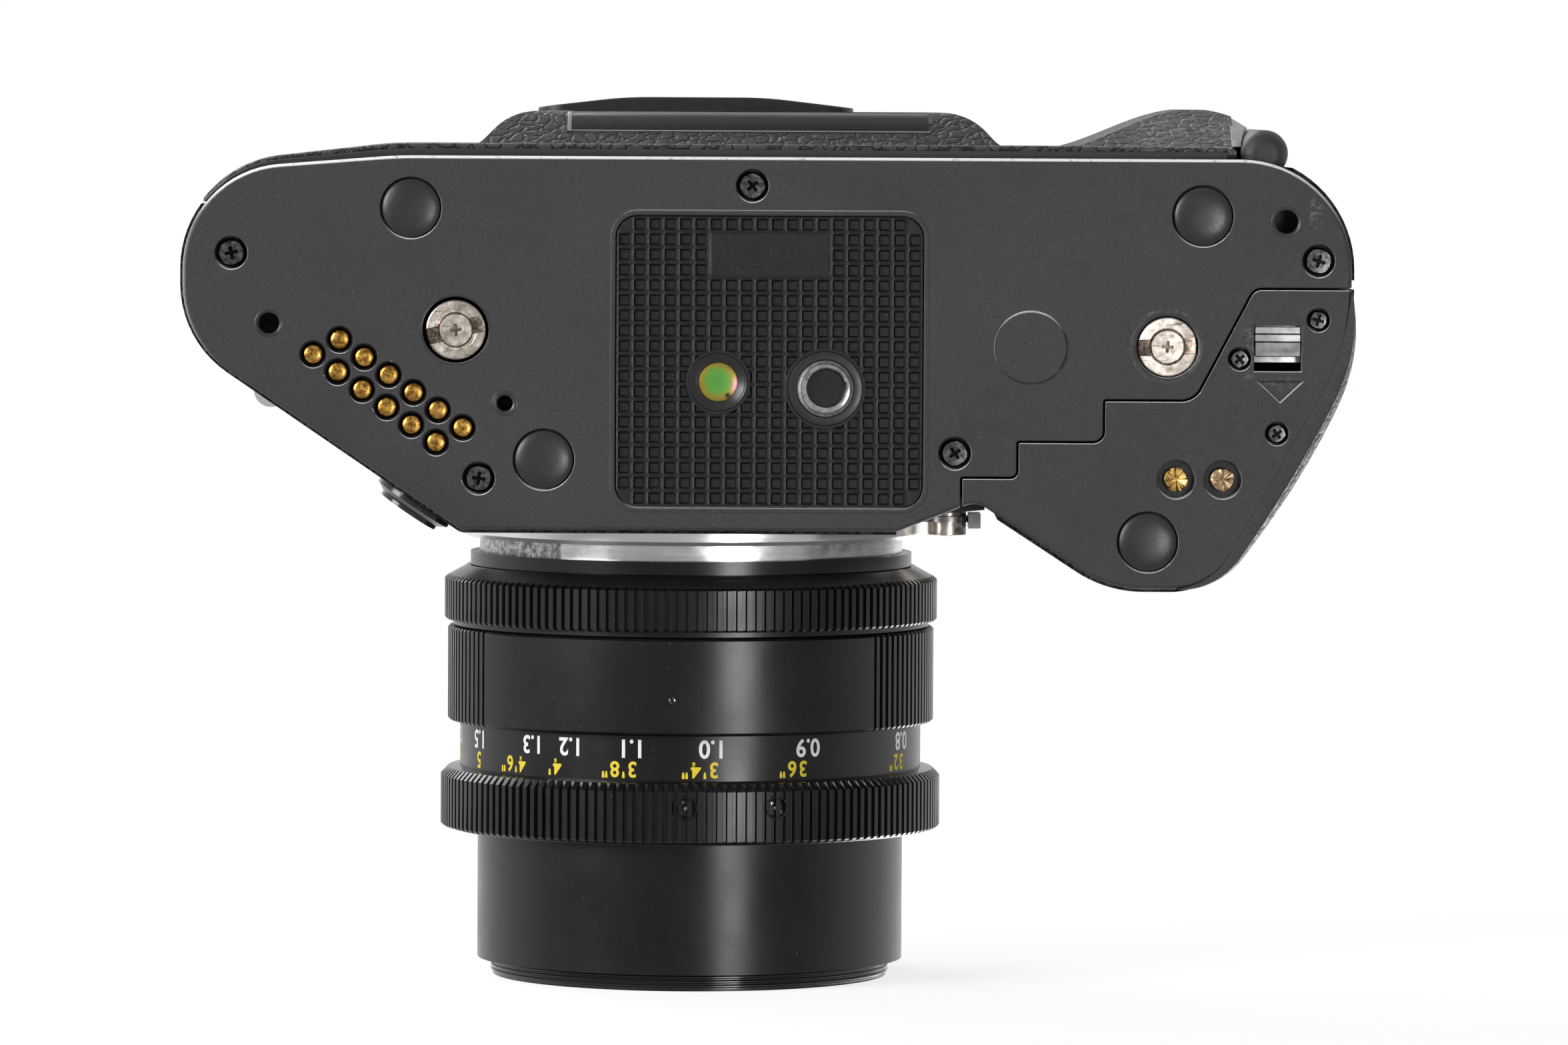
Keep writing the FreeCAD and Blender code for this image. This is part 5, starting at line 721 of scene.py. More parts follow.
def finish_figure(thing, placed, look, body):
    """Moves a figure's points to their places, given in millimetres, and gives it its look and body."""
    thing.data.vertices.foreach_set("co", (placed * MM).astype(np.float32).ravel())
    thing.data.update()
    thing.data.materials.clear()
    thing.data.materials.append(look)
    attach(thing, body)


def wrapped_text(name, words, height, turn_deg, y_centre, radius, look, body):
    """Figures rolled round the lens: across the words becomes an angle, up the words becomes -Y, and
    the radius is constant."""
    flat, thing = figure_mesh(name, words, height)
    turn = math.radians(turn_deg) - flat[:, 0] / radius
    placed = np.stack([AXIS_X - radius * np.sin(turn), y_centre - flat[:, 1],
                       AXIS_Z - radius * np.cos(turn)], axis=-1)
    finish_figure(thing, placed, look, body)


METRES = ((65.7, "0.8"), (30.7, "0.9"), (5.6, "1.0"), (-13.8, "1.1"), (-30.4, "1.2"), (-42.0, "1.3"),
          (-64.6, "1.5"), (-83.0, "1.7"), (-101.0, "2"), (-128.0, "3"), (-150.0, "5"))
FEET = ((63.0, "32\""), (26.6, "36\""), (3.0, "3'4\""), (-17.0, "3'8\""), (-34.5, "4'"),
        (-48.5, "4'6\""), (-64.5, "5"), (-84.0, "6"), (-103.0, "7"), (-128.0, "10"), (-150.0, "16"))
# Name, figures with their angles, height, place along the lens and paint
for name, figures, height, y_centre, look in (("metre", METRES, 2.55, -49.8, FIGURE_WHITE),
                                              ("foot", FEET, 2.3, -52.7, FIGURE_YELLOW)):
    for index, (turn_deg, words) in enumerate(figures):
        wrapped_text(f"{name}_figure_{index}", words, height, turn_deg, y_centre, SCALE_R + FIGURE_LIFT,
                     look, "focus_ring")


# Base fittings

def islands(node):
    """Middles of a node's separate solids in millimetres. Points at one place count as one, and every
    point takes the lowest number found along its edges until nothing changes."""
    mesh = NODES[node].data
    edges = np.zeros(len(mesh.edges) * 2, np.int32)
    mesh.edges.foreach_get("vertices", edges)
    points, same = np.unique(np.round(mesh_points(mesh) / MM, 3), axis=0, return_inverse=True)
    ends = same.ravel()[edges].reshape(-1, 2)
    label = np.arange(len(points))
    while True:
        lower = label.copy()
        np.minimum.at(lower, ends[:, 0], label[ends[:, 1]])
        np.minimum.at(lower, ends[:, 1], label[ends[:, 0]])
        if (lower == label).all():
            break
        label = lower
    parts = [points[label == number] for number in np.unique(label)]
    return [(part.min(axis=0) + part.max(axis=0)) / 2 for part in parts]


def backed(face, z_back):
    """A face grid with walls from its border up to a back level, closed at the back's middle."""
    rim = np.concatenate([face[0, :-1], face[:-1, -1], face[-1, :0:-1], face[:0:-1, 0]])
    back = rim.copy()
    back[:, 2] = z_back
    middle = np.repeat(back.mean(axis=0, keepdims=True), len(back), axis=0)
    return [patch(face), patch(np.stack([rim, back]), around=True),
            patch(np.stack([back, middle]), around=True)]


def cross_face(centre, radius, z_face, arm, half, deep, turn=0.0, crown=0.06, edge=0.12):
    """A round face that looks down, with a cross recess. (u, v) runs over a square and is carried on
    to a disc by x = u sqrt(1 - v v / 2) and y = v sqrt(1 - u u / 2). The face falls back by crown times
    the squared distance, by edge on its rim, and by deep inside either arm of the cross."""
    wall = 0.05
    steps = np.array([half, half + wall, arm, arm + wall, (arm + radius) / 2, radius - edge, radius])
    steps = np.concatenate([-steps[::-1], steps]) / radius
    u, v = np.meshgrid(steps, steps)
    x, y = u * np.sqrt(1 - v * v / 2), v * np.sqrt(1 - u * u / 2)
    near, far = np.minimum(np.abs(u), np.abs(v)), np.maximum(np.abs(u), np.abs(v))
    slack = 1e-4
    in_cross = (near <= half / radius + slack) & (far <= arm / radius + slack)
    z = z_face + crown * (x * x + y * y) + edge * (far > 1 - slack) + deep * in_cross
    turn = math.radians(turn)
    return np.stack([centre[0] + radius * (x * math.cos(turn) - y * math.sin(turn)),
                     centre[1] + radius * (x * math.sin(turn) + y * math.cos(turn)), z], axis=-1)


def slotted_ring(centre, rows, slot_half, turn):
    """A turned ring cut across by one straight slot. rows are (radius, z beside the slot, z in the
    slot). At every radius the slot's sides stand at the angle whose sine is slot_half over the radius,
    and the angles between them are shared out evenly."""
    rows = np.asarray(rows, float)
    radius = rows[:, :1]
    foot = np.arcsin(slot_half / radius)
    lip = np.arcsin((slot_half + 0.06) / radius)
    land = lip + (math.pi - 2 * lip) * np.linspace(0, 1, 15)[None, :]
    half_turn = np.concatenate([-foot, 0 * foot, foot, land], axis=1)
    turns = np.concatenate([half_turn, half_turn + math.pi], axis=1) + math.radians(turn)
    in_slot = np.tile(np.arange(half_turn.shape[1]) < 3, 2)[None, :]
    z = np.where(in_slot, rows[:, 2:], rows[:, 1:2])
    grid = np.stack([centre[0] + radius * np.cos(turns), centre[1] + radius * np.sin(turns), z],
                    axis=-1)
    return patch(grid, around=True, along=True)


ROUND = full_turn(48)
SCREW_TURNS = (18, -35, 50, 8, -12, 30, -20, 5)


def screws(name, node, body, head_r, seat_r, arm, half):
    """Cross-head screws, each in a ring that fills its counterbore."""
    patches = []
    for place, turn in zip(islands(node), SCREW_TURNS):
        face = cross_face(place, head_r, 0.16, arm, half, 0.55, turn, crown=0.05)
        patches += backed(face, 1.7)
        patches.append(about_upright([
            (head_r - 0.05, 0.85), (seat_r - 0.05, 0.80), (seat_r, 0.9), (seat_r, 1.75),
            (head_r - 0.05, 1.75)], place, ROUND, closed=True))
    piece(name, patches, LOOKS["black_screw"], body, [node])


screws("base_screws_crossed", "base_screws", "camera_body", 1.70, 1.9, 0.86, 0.19)
screws("grip_screws_crossed", "grip_screws", "battery_grip", 1.18, 1.3, 0.74, 0.17)

FOOT_PROFILE = [(0, -0.5), (1.0, -0.485), (1.9, -0.43), (2.7, -0.32), (3.3, -0.17), (3.7, 0.0),
                (3.9, 0.14), (3.98, 0.34), (3.98, 0.98), (0, 0.98)]
for node, body in (("feet", "camera_body"), ("grip_foot", "battery_grip")):
    piece(node + "_domed", [about_upright(FOOT_PROFILE, place, ROUND) for place in islands(node)],
          LOOKS["foot_rubber"], body, [node])

PIN_PROFILE = [(0, 0.16), (0.6, 0.13), (1.05, 0.2), (1.24, 0.34), (1.34, 0.7), (1.4, 1.1), (1.4, 3.1),
               (0, 3.1)]
SOCKET_PROFILE = [(1.74, -0.03), (1.80, 0.05), (1.80, 2.4), (1.42, 2.4), (1.42, 1.5), (1.62, 0.5),
                  (1.70, 0.06)]
PIN_TURN = full_turn(24)
pin_places = islands("contact_pins")
piece("contact_pins_domed", [about_upright(PIN_PROFILE, place, PIN_TURN) for place in pin_places],
      LOOKS["gold"], "camera_body", ["contact_pins"])
piece("contact_sockets", [about_upright(SOCKET_PROFILE, place, PIN_TURN, closed=True)
                          for place in pin_places],
      LOOKS["socket_plastic"], "camera_body")


def eyelet(centre, inner, outer):
    """A thin round lip about a hole, with a funnel down into it."""
    return about_upright([
        (inner, 0.5), (inner + 0.05, 0.15), (inner + 0.25, 0.0), (outer - 0.25, -0.05),
        (outer - 0.08, -0.04), (outer, 0.02), (outer, 0.08), (inner + 0.3, 0.08), (inner + 0.1, 0.6)],
        centre, ROUND, closed=True)


piece("hole_lips", [eyelet((75.4, 8.5), 1.38, 1.95), eyelet((43.4, -2.2), 1.03, 1.78),
                    eyelet((-62.3, 22.9), 1.55, 2.1)],
      LOOKS["lip_paint"], "camera_body")


def coupling(name, node, body, rows, turn, neck_r, neck_z):
    """A round drive coupling: a slotted ring round a cross-slotted stud, on a stepped shaft."""
    low, high = box_mm(node)
    centre = (low + high) / 2
    head_r = rows[-3][0]
    stud = cross_face(centre, 2.2, 0.24, 0.76, 0.18, 0.6, turn + 8, crown=0.03, edge=0.06)
    shaft = about_upright([
        (0, 1.25), (head_r - 0.05, 1.25), (head_r - 0.05, neck_z), (neck_r, neck_z),
        (neck_r, high[2]), (0, high[2])], centre, ROUND)
    piece(name, [slotted_ring(centre, rows, 1.04, turn), *backed(stud, 1.6), shaft],
          LOOKS["coupling_nickel"], body, [node], crease=25.0)
    return centre


COLLARED_RING = [(2.36, 1.6, 1.6), (2.36, 0.62, 1.0), (2.42, 0.55, 0.95), (2.80, 0.52, 0.95),
                 (2.88, 0.36, 0.95), (3.85, 0.30, 0.95), (4.02, 0.40, 1.0), (4.08, 0.6, 1.05),
                 (4.08, 2.2, 2.2), (2.36, 2.2, 2.2)]
PLAIN_RING = [(2.45, 1.6, 1.6), (2.45, 0.46, 1.0), (2.52, 0.34, 0.95), (3.85, 0.30, 0.95),
              (4.02, 0.38, 1.0), (4.08, 0.55, 1.05), (4.08, 2.2, 2.2), (2.45, 2.2, 2.2)]
rewind_centre = coupling("rewind_coupling_slotted", "rewind_coupling", "rewind_coupling",
                         COLLARED_RING, -14.0, 2.0, 8.0)
wind_centre = coupling("wind_coupling_slotted", "wind_shaft", "advance", PLAIN_RING, -2.5, 2.5, 4.0)


def hole_rim(centre, inner, outer):
    """A double lip round a hole: two low ridges with a groove between them."""
    middle = (inner + outer) / 2
    return about_upright([
        (inner, 0.5), (inner, 0.04), (inner + 0.08, -0.03), (middle - 0.1, -0.02), (middle, 0.03),
        (middle + 0.08, -0.03), (outer - 0.06, -0.03), (outer, 0.02), (outer, 0.1), (middle, 0.12)],
        centre, full_turn(72), closed=True)


piece("coupling_rims", [hole_rim(wind_centre, 4.24, 4.95), hole_rim(rewind_centre, 4.52, 4.85)],
      LOOKS["lip_paint"], "camera_body")


def tripod_bush():
    """A steel bush: its bore is a thread, the radius a zigzag of z over the pitch less the share of a
    turn, under a worn bevel; a black collar fills the rest of its seat."""
    high = box_mm("tripod_socket")[1]
    pitch, crest, deep = 1.27, 2.5, 0.3
    turns = full_turn(64)
    z = np.linspace(0.55, 5.3, 70)
    phase = (z[:, None] / pitch - turns[None, :] / (2 * math.pi)) % 1.0
    radius = crest + deep * 2 * np.abs(phase - 0.5)
    thread = np.stack([radius * np.cos(turns), radius * np.sin(turns),
                       np.repeat(z[:, None], len(turns), axis=1)], axis=-1)
    mouth = np.concatenate([thread[:1], about_rows([(2.85, 0.36), (3.28, 0.05), (3.36, 0.0),
                                                    (3.78, 0.0), (3.84, 0.05), (3.88, 0.12),
                                                    (3.88, high[2]), (0, high[2])], (0, 0), turns)])
    end = np.concatenate([thread[-1:], about_rows([(0, 5.3)], (0, 0), turns)])
    piece("tripod_bush_threaded", [patch(thread, around=True), patch(mouth, around=True),
                                   patch(end, around=True)],
          LOOKS["bush_steel"], "camera_body", ["tripod_socket"])
    piece("tripod_bush_collar", [about_upright([
        (3.92, 0.12), (3.98, 0.07), (4.9, 0.05), (5.0, 0.1), (5.0, 1.25), (3.92, 1.25)],
        (0, 0), full_turn(72), closed=True)], LOOKS["collar_rubber"], "camera_body")


def locating_disc():
    """A dark funnel ring about a shallow domed disc."""
    low, high = box_mm("locating_insert")
    centre = (low + high) / 2
    piece("locating_ring", [about_upright([
        (0, 1.0), (2.66, 0.98), (2.68, 0.62), (2.8, 0.56), (3.5, 0.34), (3.62, 0.22), (3.78, 0.06),
        (3.86, 0.04), (3.95, 0.12), (3.95, 1.3), (3.8, high[2]), (0, high[2])],
        centre, full_turn(72))],
        LOOKS["collar_rubber"], "camera_body", ["locating_insert"])
    piece("locating_disc_domed", [about_upright([
        (0, 0.50), (0.9, 0.51), (1.8, 0.55), (2.4, 0.61), (2.6, 0.68), (2.63, 0.8), (0, 0.95)],
        centre, ROUND)], FILM_LUSTRE, "camera_body")


tripod_bush()
locating_disc()


def swept(section, start, end, axis=0):
    """A closed section of (a, b) points carried straight along one axis from start to end, its ends
    drawn in a little and closed at their middles."""
    section = np.asarray(section, float)
    middle = section.mean(axis=0)
    rows = []
    for place, size in ((start, 0.0), (start, 0.96), (start + 0.08, 1.0), (end - 0.08, 1.0),
                        (end, 0.96), (end, 0.0)):
        ring = middle + (section - middle) * size
        rows.append(np.insert(ring, axis, place, axis=1))
    return patch(np.stack(rows), around=True)


def latch():
    """The slider's face in three steps with grooves between them, on its hidden guide plate."""
    low, high = box_mm("grip_latch")
    left, right = -64.25, -58.2
    steps = swept([(8.68, 0.5), (8.62, 0.28), (7.80, 0.16), (7.74, 0.42), (7.66, 0.42), (7.62, 0.02),
                   (6.74, -0.10), (6.68, 0.3), (6.60, 0.3), (6.55, -0.18), (4.75, 0.18), (4.62, 0.5),
                   (4.62, 2.9), (8.68, 2.9)], left, right)
    guide = swept([(low[1], 3.16), (high[1], 3.16), (high[1], high[2]), (low[1], high[2])],
                  low[0], high[0])
    piece("grip_latch_stepped", [steps, guide], LOOKS["latch_chrome"], "grip_latch",
          ["grip_latch"], crease=20.0)


latch()


def grip_contacts():
    """A brass stud whose cone face has eight sectors, high and low in turn, and a slot, and a bronze one
    with an uneven face."""
    for place in islands("grip_contacts"):
        brass = place[0] > -50.5
        turns = full_turn(40)
        rows = np.array([[0.0, 0.46], [0.5, 0.50], [1.0, 0.56], [1.45, 0.66], [1.62, 0.8], [1.62, 1.6],
                         [0.0, 1.6]])
        grid = about_rows(rows, place, turns)
        dent = np.array([0, 1, 1, 0.7, 0, 0, 0])[:, None]
        if brass:
            wave = 0.10 * np.sign(np.sin(4 * turns + 0.6)) + 0.30 * (np.abs(np.sin(turns - 1.2)) < 0.16)
        else:
            wave = 0.10 * np.sin(3 * turns) + 0.08 * np.sin(7 * turns + 1.0)
        grid[:, :, 2] += dent * wave[None, :]
        name, look = ("brass_contact", "brass") if brass else ("bronze_contact", "bronze")
        piece(name, [patch(grid, around=True)], LOOKS[look], "battery_grip",
              ["grip_contacts"] if brass else (), crease=18.0)


grip_contacts()


def frame_rim(name, x0, x1, y0, y1, corner, wide, proud, look, body):
    """A low rounded ridge round a rectangle with round corners: the section is a half wave across its
    width, and the path's corners are quarter circles."""
    quarter = np.linspace(0, math.pi / 2, 9)
    turns = np.concatenate([quarter + k * math.pi / 2 for k in range(4)])
    centre_x = np.repeat([x1 - corner, x0 + corner, x0 + corner, x1 - corner], 9)
    centre_y = np.repeat([y1 - corner, y1 - corner, y0 + corner, y0 + corner], 9)
    across = np.linspace(0, wide, 7)
    height = -proud * np.sin(np.linspace(0, math.pi, 7))
    radius = corner + across[:, None]
    grid = np.stack([centre_x + radius * np.cos(turns), centre_y + radius * np.sin(turns),
                     np.repeat(height[:, None] + 0.005, len(turns), axis=1)], axis=-1)
    under = grid[[-1, 0]].copy()
    under[:, :, 2] = 0.12
    piece(name, [patch(np.concatenate([grid, under]), around=True, along=True)], look, body,
          crease=50.0)


frame_rim("pad_lip", -13.3, 28.5, -16.2, 23.4, 3.0, 0.75, 0.11, LOOKS["crinkle_paint"], "camera_body")


# Base pad

def base_pad():
    """Rubber pad as a height field: square pits with sloped walls on a constant pitch, flat in the label
    place, and dropped away inside the two round holes. Points past a rounded corner are moved on to its
    circle."""
    low, high = box_mm("base_pad")
    deep, brink, floor_half, top_half = 0.55, 0.07, 0.55, 0.80
    offsets = np.array([-top_half, -floor_half, -0.18, 0.18, floor_half, top_half])

    def stations(start, end, cells):
        step = (end - start) / cells
        ridges = start + step * np.arange(cells)
        inner = np.concatenate([ridges[:, None], ridges[:, None] + step / 2 + offsets[None, :]], axis=1)
        return np.concatenate([inner.ravel(), [end]]), step

    xs, step_x = stations(low[0], high[0], 20)
    ys, step_y = stations(low[1], high[1], 19)
    x, y = np.meshgrid(xs, ys)
    across = np.abs((x - low[0]) % step_x - step_x / 2)
    along = np.abs((y - low[1]) % step_y - step_y / 2)
    reach = np.maximum(across, along)
    z = brink * np.clip((step_x / 2 - reach) / (step_x / 2 - top_half), 0, 1)
    z += (deep - brink) * np.clip((top_half - reach) / (top_half - floor_half), 0, 1)
    label_x, label_y = low[0] + step_x * np.array([6, 14]), low[1] + step_y * np.array([15, 18])
    slack = 0.01
    label = (x > label_x[0] + slack) & (x < label_x[1] - slack)
    label &= (y > label_y[0] + slack) & (y < label_y[1] - slack)
    z = np.where(label, 0.09, z)
    collars = []
    for node in ("tripod_socket", "locating_insert"):
        box_low, box_high = box_mm(node)
        cx, cy = (box_low[:2] + box_high[:2]) / 2
        rim = (box_high[0] - box_low[0]) / 2 + 0.06
        z = np.where(np.hypot(x - cx, y - cy) < rim + 0.02, 1.2, z)
        collars.append(about_upright([(rim, 0.8), (rim, 0.04), (rim + 0.05, -0.01), (rim + 0.36, -0.01),
                                      (rim + 0.42, 0.04), (rim + 0.44, 0.8)], (cx, cy), full_turn(72),
                                     closed=True))
    for ex in (low[0], high[0]):
        for ey in (low[1], high[1]):
            z = np.where((np.abs(x - ex) < step_x - slack) & (np.abs(y - ey) < step_y - slack), 0.02, z)
    corner = 2.8
    for sx, sy, ex, ey in ((1, 1, high[0], high[1]), (-1, 1, low[0], high[1]),
                           (1, -1, high[0], low[1]), (-1, -1, low[0], low[1])):
        cx, cy = ex - sx * corner, ey - sy * corner
        dx, dy = (x - cx) * sx, (y - cy) * sy
        away = np.maximum(np.hypot(dx, dy), 1e-6)
        out = (dx > 0) & (dy > 0) & (away > corner)
        x = np.where(out, cx + sx * dx / away * corner, x)
        y = np.where(out, cy + sy * dy / away * corner, y)
        z = np.where(out, 0.0, z)
    top = np.stack([x, y, z], axis=-1)
    rim_line = np.concatenate([top[0, :-1], top[:-1, -1], top[-1, :0:-1], top[:0:-1, 0]])
    skirt = np.stack([rim_line, rim_line + np.array([0, 0, 1.25]) - rim_line * [0, 0, 1]])
    under = np.array([[(low[0] + high[0]) / 2, (low[1] + high[1]) / 2, 1.25]])
    bottom = np.stack([skirt[1], np.repeat(under, len(rim_line), axis=0)])
    piece("base_pad_pitted", [patch(top), patch(skirt, around=True), patch(bottom, around=True), *collars],
          LOOKS["pad_rubber"], "camera_body", ["base_pad"], crease=25.0)


base_pad()


# Softened edges

EASE_SEGMENTS = 3


def eased(node, wide):
    """A merged copy of a node whose flat faces are joined and whose edges get a small round."""
    source = NODES[node]
    work = bmesh.new()
    work.from_mesh(source.data)
    bmesh.ops.remove_doubles(work, verts=work.verts, dist=2e-6)
    bmesh.ops.dissolve_limit(work, angle_limit=math.radians(0.5), verts=work.verts, edges=work.edges)
    bmesh.ops.recalc_face_normals(work, faces=work.faces)
    mesh = bpy.data.meshes.new(node + "_eased")
    work.to_mesh(mesh)
    work.free()
    mesh.shade_smooth()
    mesh.set_sharp_from_angle(angle=math.radians(35))
    mesh.materials.clear()
    mesh.materials.append(LOOKS[SLOT_OF[node]])
    thing = bpy.data.objects.new(node + "_eased", mesh)
    bpy.context.scene.collection.objects.link(thing)
    rounding = thing.modifiers.new("round", "BEVEL")
    rounding.width = wide * MM
    rounding.segments = EASE_SEGMENTS
    rounding.limit_method = "ANGLE"
    rounding.angle_limit = math.radians(38)
    rounding.use_clamp_overlap = False
    rounding.harden_normals = True
    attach(thing, BODY_OF[node])
    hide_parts(node)


BODY_OF = {node: body for body, nodes in frame["record"]["behaviour"]["bodies"].items()
           for node in nodes}
for node, wide in (("base_plate", 0.19), ("grip_base", 0.14), ("hot_shoe", 0.1), ("advance_lever", 0.2),
                   ("top_cover", 0.3), ("rewind_handle", 0.12), ("eyepiece_frame", 0.25)):
    eased(node, wide)


def front_dome():
    """The front lens group's glass: a dome whose sag grows with the square of the radius."""
    low, high = box_mm("front_glass")
    rim = (high[0] - low[0]) / 2
    reach = np.linspace(0.0, 1.0, 13)
    dome = np.stack([rim * reach, low[1] + 2.6 * reach ** 2], axis=1)
    profile = np.concatenate([dome, [[rim, high[1]], [0.0, high[1]]]])
    piece("front_glass_domed", [about_lens(profile, full_turn(96), closed=False)], LOOKS["coated_glass"],
          BODY_OF["front_glass"], ["front_glass"], crease=30.0)


front_dome()


# Bands round the base

def outline(node, start_deg, end_deg, count, x_limits=(-1000.0, 1000.0)):
    """Points and outward directions along a node's hull seen from below, between two directions: the
    farthest point for every direction, then shared out evenly by length."""
    flat = mesh_points(NODES[node].data)[:, :2] / MM
    turns = np.radians(np.linspace(start_deg, end_deg, 240))
    ways = np.stack([np.cos(turns), np.sin(turns)], axis=-1)
    path = flat[np.argmax(flat @ ways.T, axis=0)]
    length = np.concatenate([[0], np.cumsum(np.hypot(*np.diff(path, axis=0).T) + 1e-5)])
    even = np.linspace(0, length[-1], count)
    path = np.stack([np.interp(even, length, column) for column in path.T], axis=-1)
    ways = np.stack([np.interp(even, length, column) for column in ways.T], axis=-1)
    inside = (path[:, 0] >= x_limits[0]) & (path[:, 0] <= x_limits[1])
    return path[inside], ways[inside] / np.linalg.norm(ways[inside], axis=1, keepdims=True)


def band_round(path, ways, rows, swell=None):
    """A closed section of (offset, z) carried along an outline; swell, one value for each point, grows
    the offsets. Both ends are closed at the section's middle."""
    rows = np.asarray(rows, float)
    swell = np.ones(len(path)) if swell is None else swell
    offset = rows[:, :1] * swell[None, :]
    grid = np.stack([path[:, 0] + offset * ways[:, 0], path[:, 1] + offset * ways[:, 1],
                     np.repeat(rows[:, 1:], len(path), axis=1)], axis=-1)
    ends = grid.mean(axis=0, keepdims=True)
    ends = [np.repeat(ends[:, [k]], len(rows), axis=0) for k in (0, -1)]
    return patch(np.concatenate([ends[0], grid, ends[1]], axis=1), along=True)


door_high = box_mm("door_leather")[1]
HINGE_SIDE = -55.2
path, ways = outline("base_plate", 18.0, 90.6, 160, (HINGE_SIDE, door_high[0] - 0.15))
slimmer = np.interp(path[:, 0], [60.0, 84.0], [1.0, 0.5])
piece("door_lower_rim", [band_round(path, ways, [
    (-0.5, 3.12), (0.72, 3.12), (0.95, 3.3), (0.95, 4.6), (-0.5, 4.6)], slimmer)],
    LOOKS["door_paint"], "back_door")
piece("door_leather_lip", [band_round(path, ways, [
    (-0.5, 4.65), (1.2, 4.65), (1.55, 4.9), (1.72, 5.6), (1.72, 7.0), (1.0, 9.0), (-0.5, 9.0)], slimmer)],
    LOOKS["sheen_painted_edge_leather"], "back_door")


def lofted(name, sections, heights, look, body):
    """Matching closed sections of (x, y) points at rising heights, closed at both ends."""
    rows = [np.insert(np.asarray(section, float), 2, height, axis=1)
            for section, height in zip(sections, heights)]
    caps = [np.repeat(row.mean(axis=0, keepdims=True), len(row), axis=0) for row in (rows[0], rows[-1])]
    piece(name, [patch(np.stack([caps[0], *rows, caps[1]]), around=True)], look, body,
          crease=40.0)


piece("door_inset_bar", [swept([
    (34.86, 9.26), (35.2, 9.7), (35.8, 10.7), (36.6, 12.1), (37.0, 13.0), (37.2, 14.0), (37.26, 15.1),
    (36.4, 15.1), (36.3, 12.4), (34.86, 10.4)], -13.9, 34.7)], LOOKS["panel_gloss"], "back_door")
piece("door_inset_frame", [
    swept([(37.22, 14.5), (37.34, 14.5), (37.34, 15.4), (37.22, 15.4)], -14.3, 35.3),
    swept([(34.7, 9.06), (34.86, 9.1), (34.86, 9.6), (34.7, 9.4)], -14.2, 35.2),
    swept([(34.86, 9.1), (35.8, 10.5), (36.6, 11.9), (37.1, 13.0), (37.3, 14.2), (37.32, 15.2),
           (36.5, 15.2), (34.86, 10.4)], 34.74, 35.3)], LOOKS["panel_frame"], "back_door")


# The thumb rest's end, painted an even pale grey that stands for a highlight
lofted("thumb_rest_end", [
    [(-55.2, 33.0), (-55.2, 34.0), (-55.8, 33.9), (-56.4, 33.6), (-56.4, 33.0)],
    [(-55.2, 33.0), (-55.4, 36.9), (-56.4, 36.4), (-57.6, 35.6), (-57.6, 34.6)],
    [(-55.2, 33.0), (-55.5, 37.1), (-56.6, 36.5), (-58.1, 35.6), (-58.1, 34.9)],
    [(-55.2, 33.0), (-55.5, 37.1), (-56.6, 36.5), (-58.1, 35.6), (-58.1, 34.9)],
    [(-55.2, 33.0), (-55.2, 34.0), (-55.8, 33.9), (-56.4, 33.6), (-56.4, 33.0)]],
    [7.0, 22.0, 26.0, 56.0, 62.0], LOOKS["painted_edge_highlight"], "back_door")

path, ways = outline("grip_base", 181.0, 264.0, 90)
share = np.linspace(0, 1, len(path))
bulge = np.sin(math.pi * share ** 0.9) ** 0.8
piece("grip_side_rim", [band_round(path, ways, [
    (-0.6, 0.06), (1.66, 0.06), (1.85, 0.16), (1.95, 0.4), (1.95, 2.9), (-0.6, 2.9)], bulge)],
    LOOKS["crinkle_paint"], "battery_grip")
piece("grip_side_leather", [band_round(path, ways, [
    (-0.6, 3.3), (2.1, 3.3), (2.6, 4.2), (3.1, 6.0), (3.2, 9.0), (2.8, 16.0), (1.6, 26.0), (0.2, 38.0),
    (-0.6, 42.0)], bulge)],
    LOOKS["sheen_painted_leather"], "battery_grip")


# Lens screws

def on_lens(patches, turn_deg, y, radius):
    """Pieces made about the upright axis with their face down are set on the lens: their x runs round
    it, their y along it, and their depth goes in from the stated radius."""
    turn = math.radians(turn_deg)
    inward = np.array([math.sin(turn), 0, math.cos(turn)])
    across = np.array([math.cos(turn), 0, -math.sin(turn)])
    start = np.array([AXIS_X, y, AXIS_Z]) - inward * radius
    placed = []
    for points, quads in patches:
        points = (start + points[:, :1] * across + points[:, 1:2] * np.array([0, 1, 0])
                  + points[:, 2:] * inward)
        placed.append((points, quads))
    return placed


def lens_screw(name, turn_deg, y, radius, head_r, slot_half, slot_turn, body):
    """A round-headed slotted screw in a round seat whose wall hides the ribs behind it."""
    rows = [(0.24, 0.42, 0.42), (0.25, 0.02, 0.42), (head_r * 0.6, 0.05, 0.42),
            (head_r * 0.88, 0.16, 0.45), (head_r, 0.36, 0.5), (head_r, 0.9, 0.9), (0.24, 0.9, 0.9)]
    head = [slotted_ring((0, 0), rows, slot_half, slot_turn),
            about_upright([(0, 0.43), (0.3, 0.43), (0.3, 0.85), (0, 0.85)], (0, 0), full_turn(24))]
    seat = [about_upright([(head_r + 0.06, 0.8), (head_r + 0.06, 0.1), (head_r + 0.12, 0.0),
                           (head_r + 0.24, 0.0), (head_r + 0.3, 0.1), (head_r + 0.3, 0.8)], (0, 0),
                          full_turn(40), closed=True)]
    piece(name, on_lens(head, turn_deg, y, radius), LOOKS["lens_screw"], body,
          crease=25.0)
    piece(name + "_seat", on_lens(seat, turn_deg, y, radius), LOOKS["anodised_black"], body)


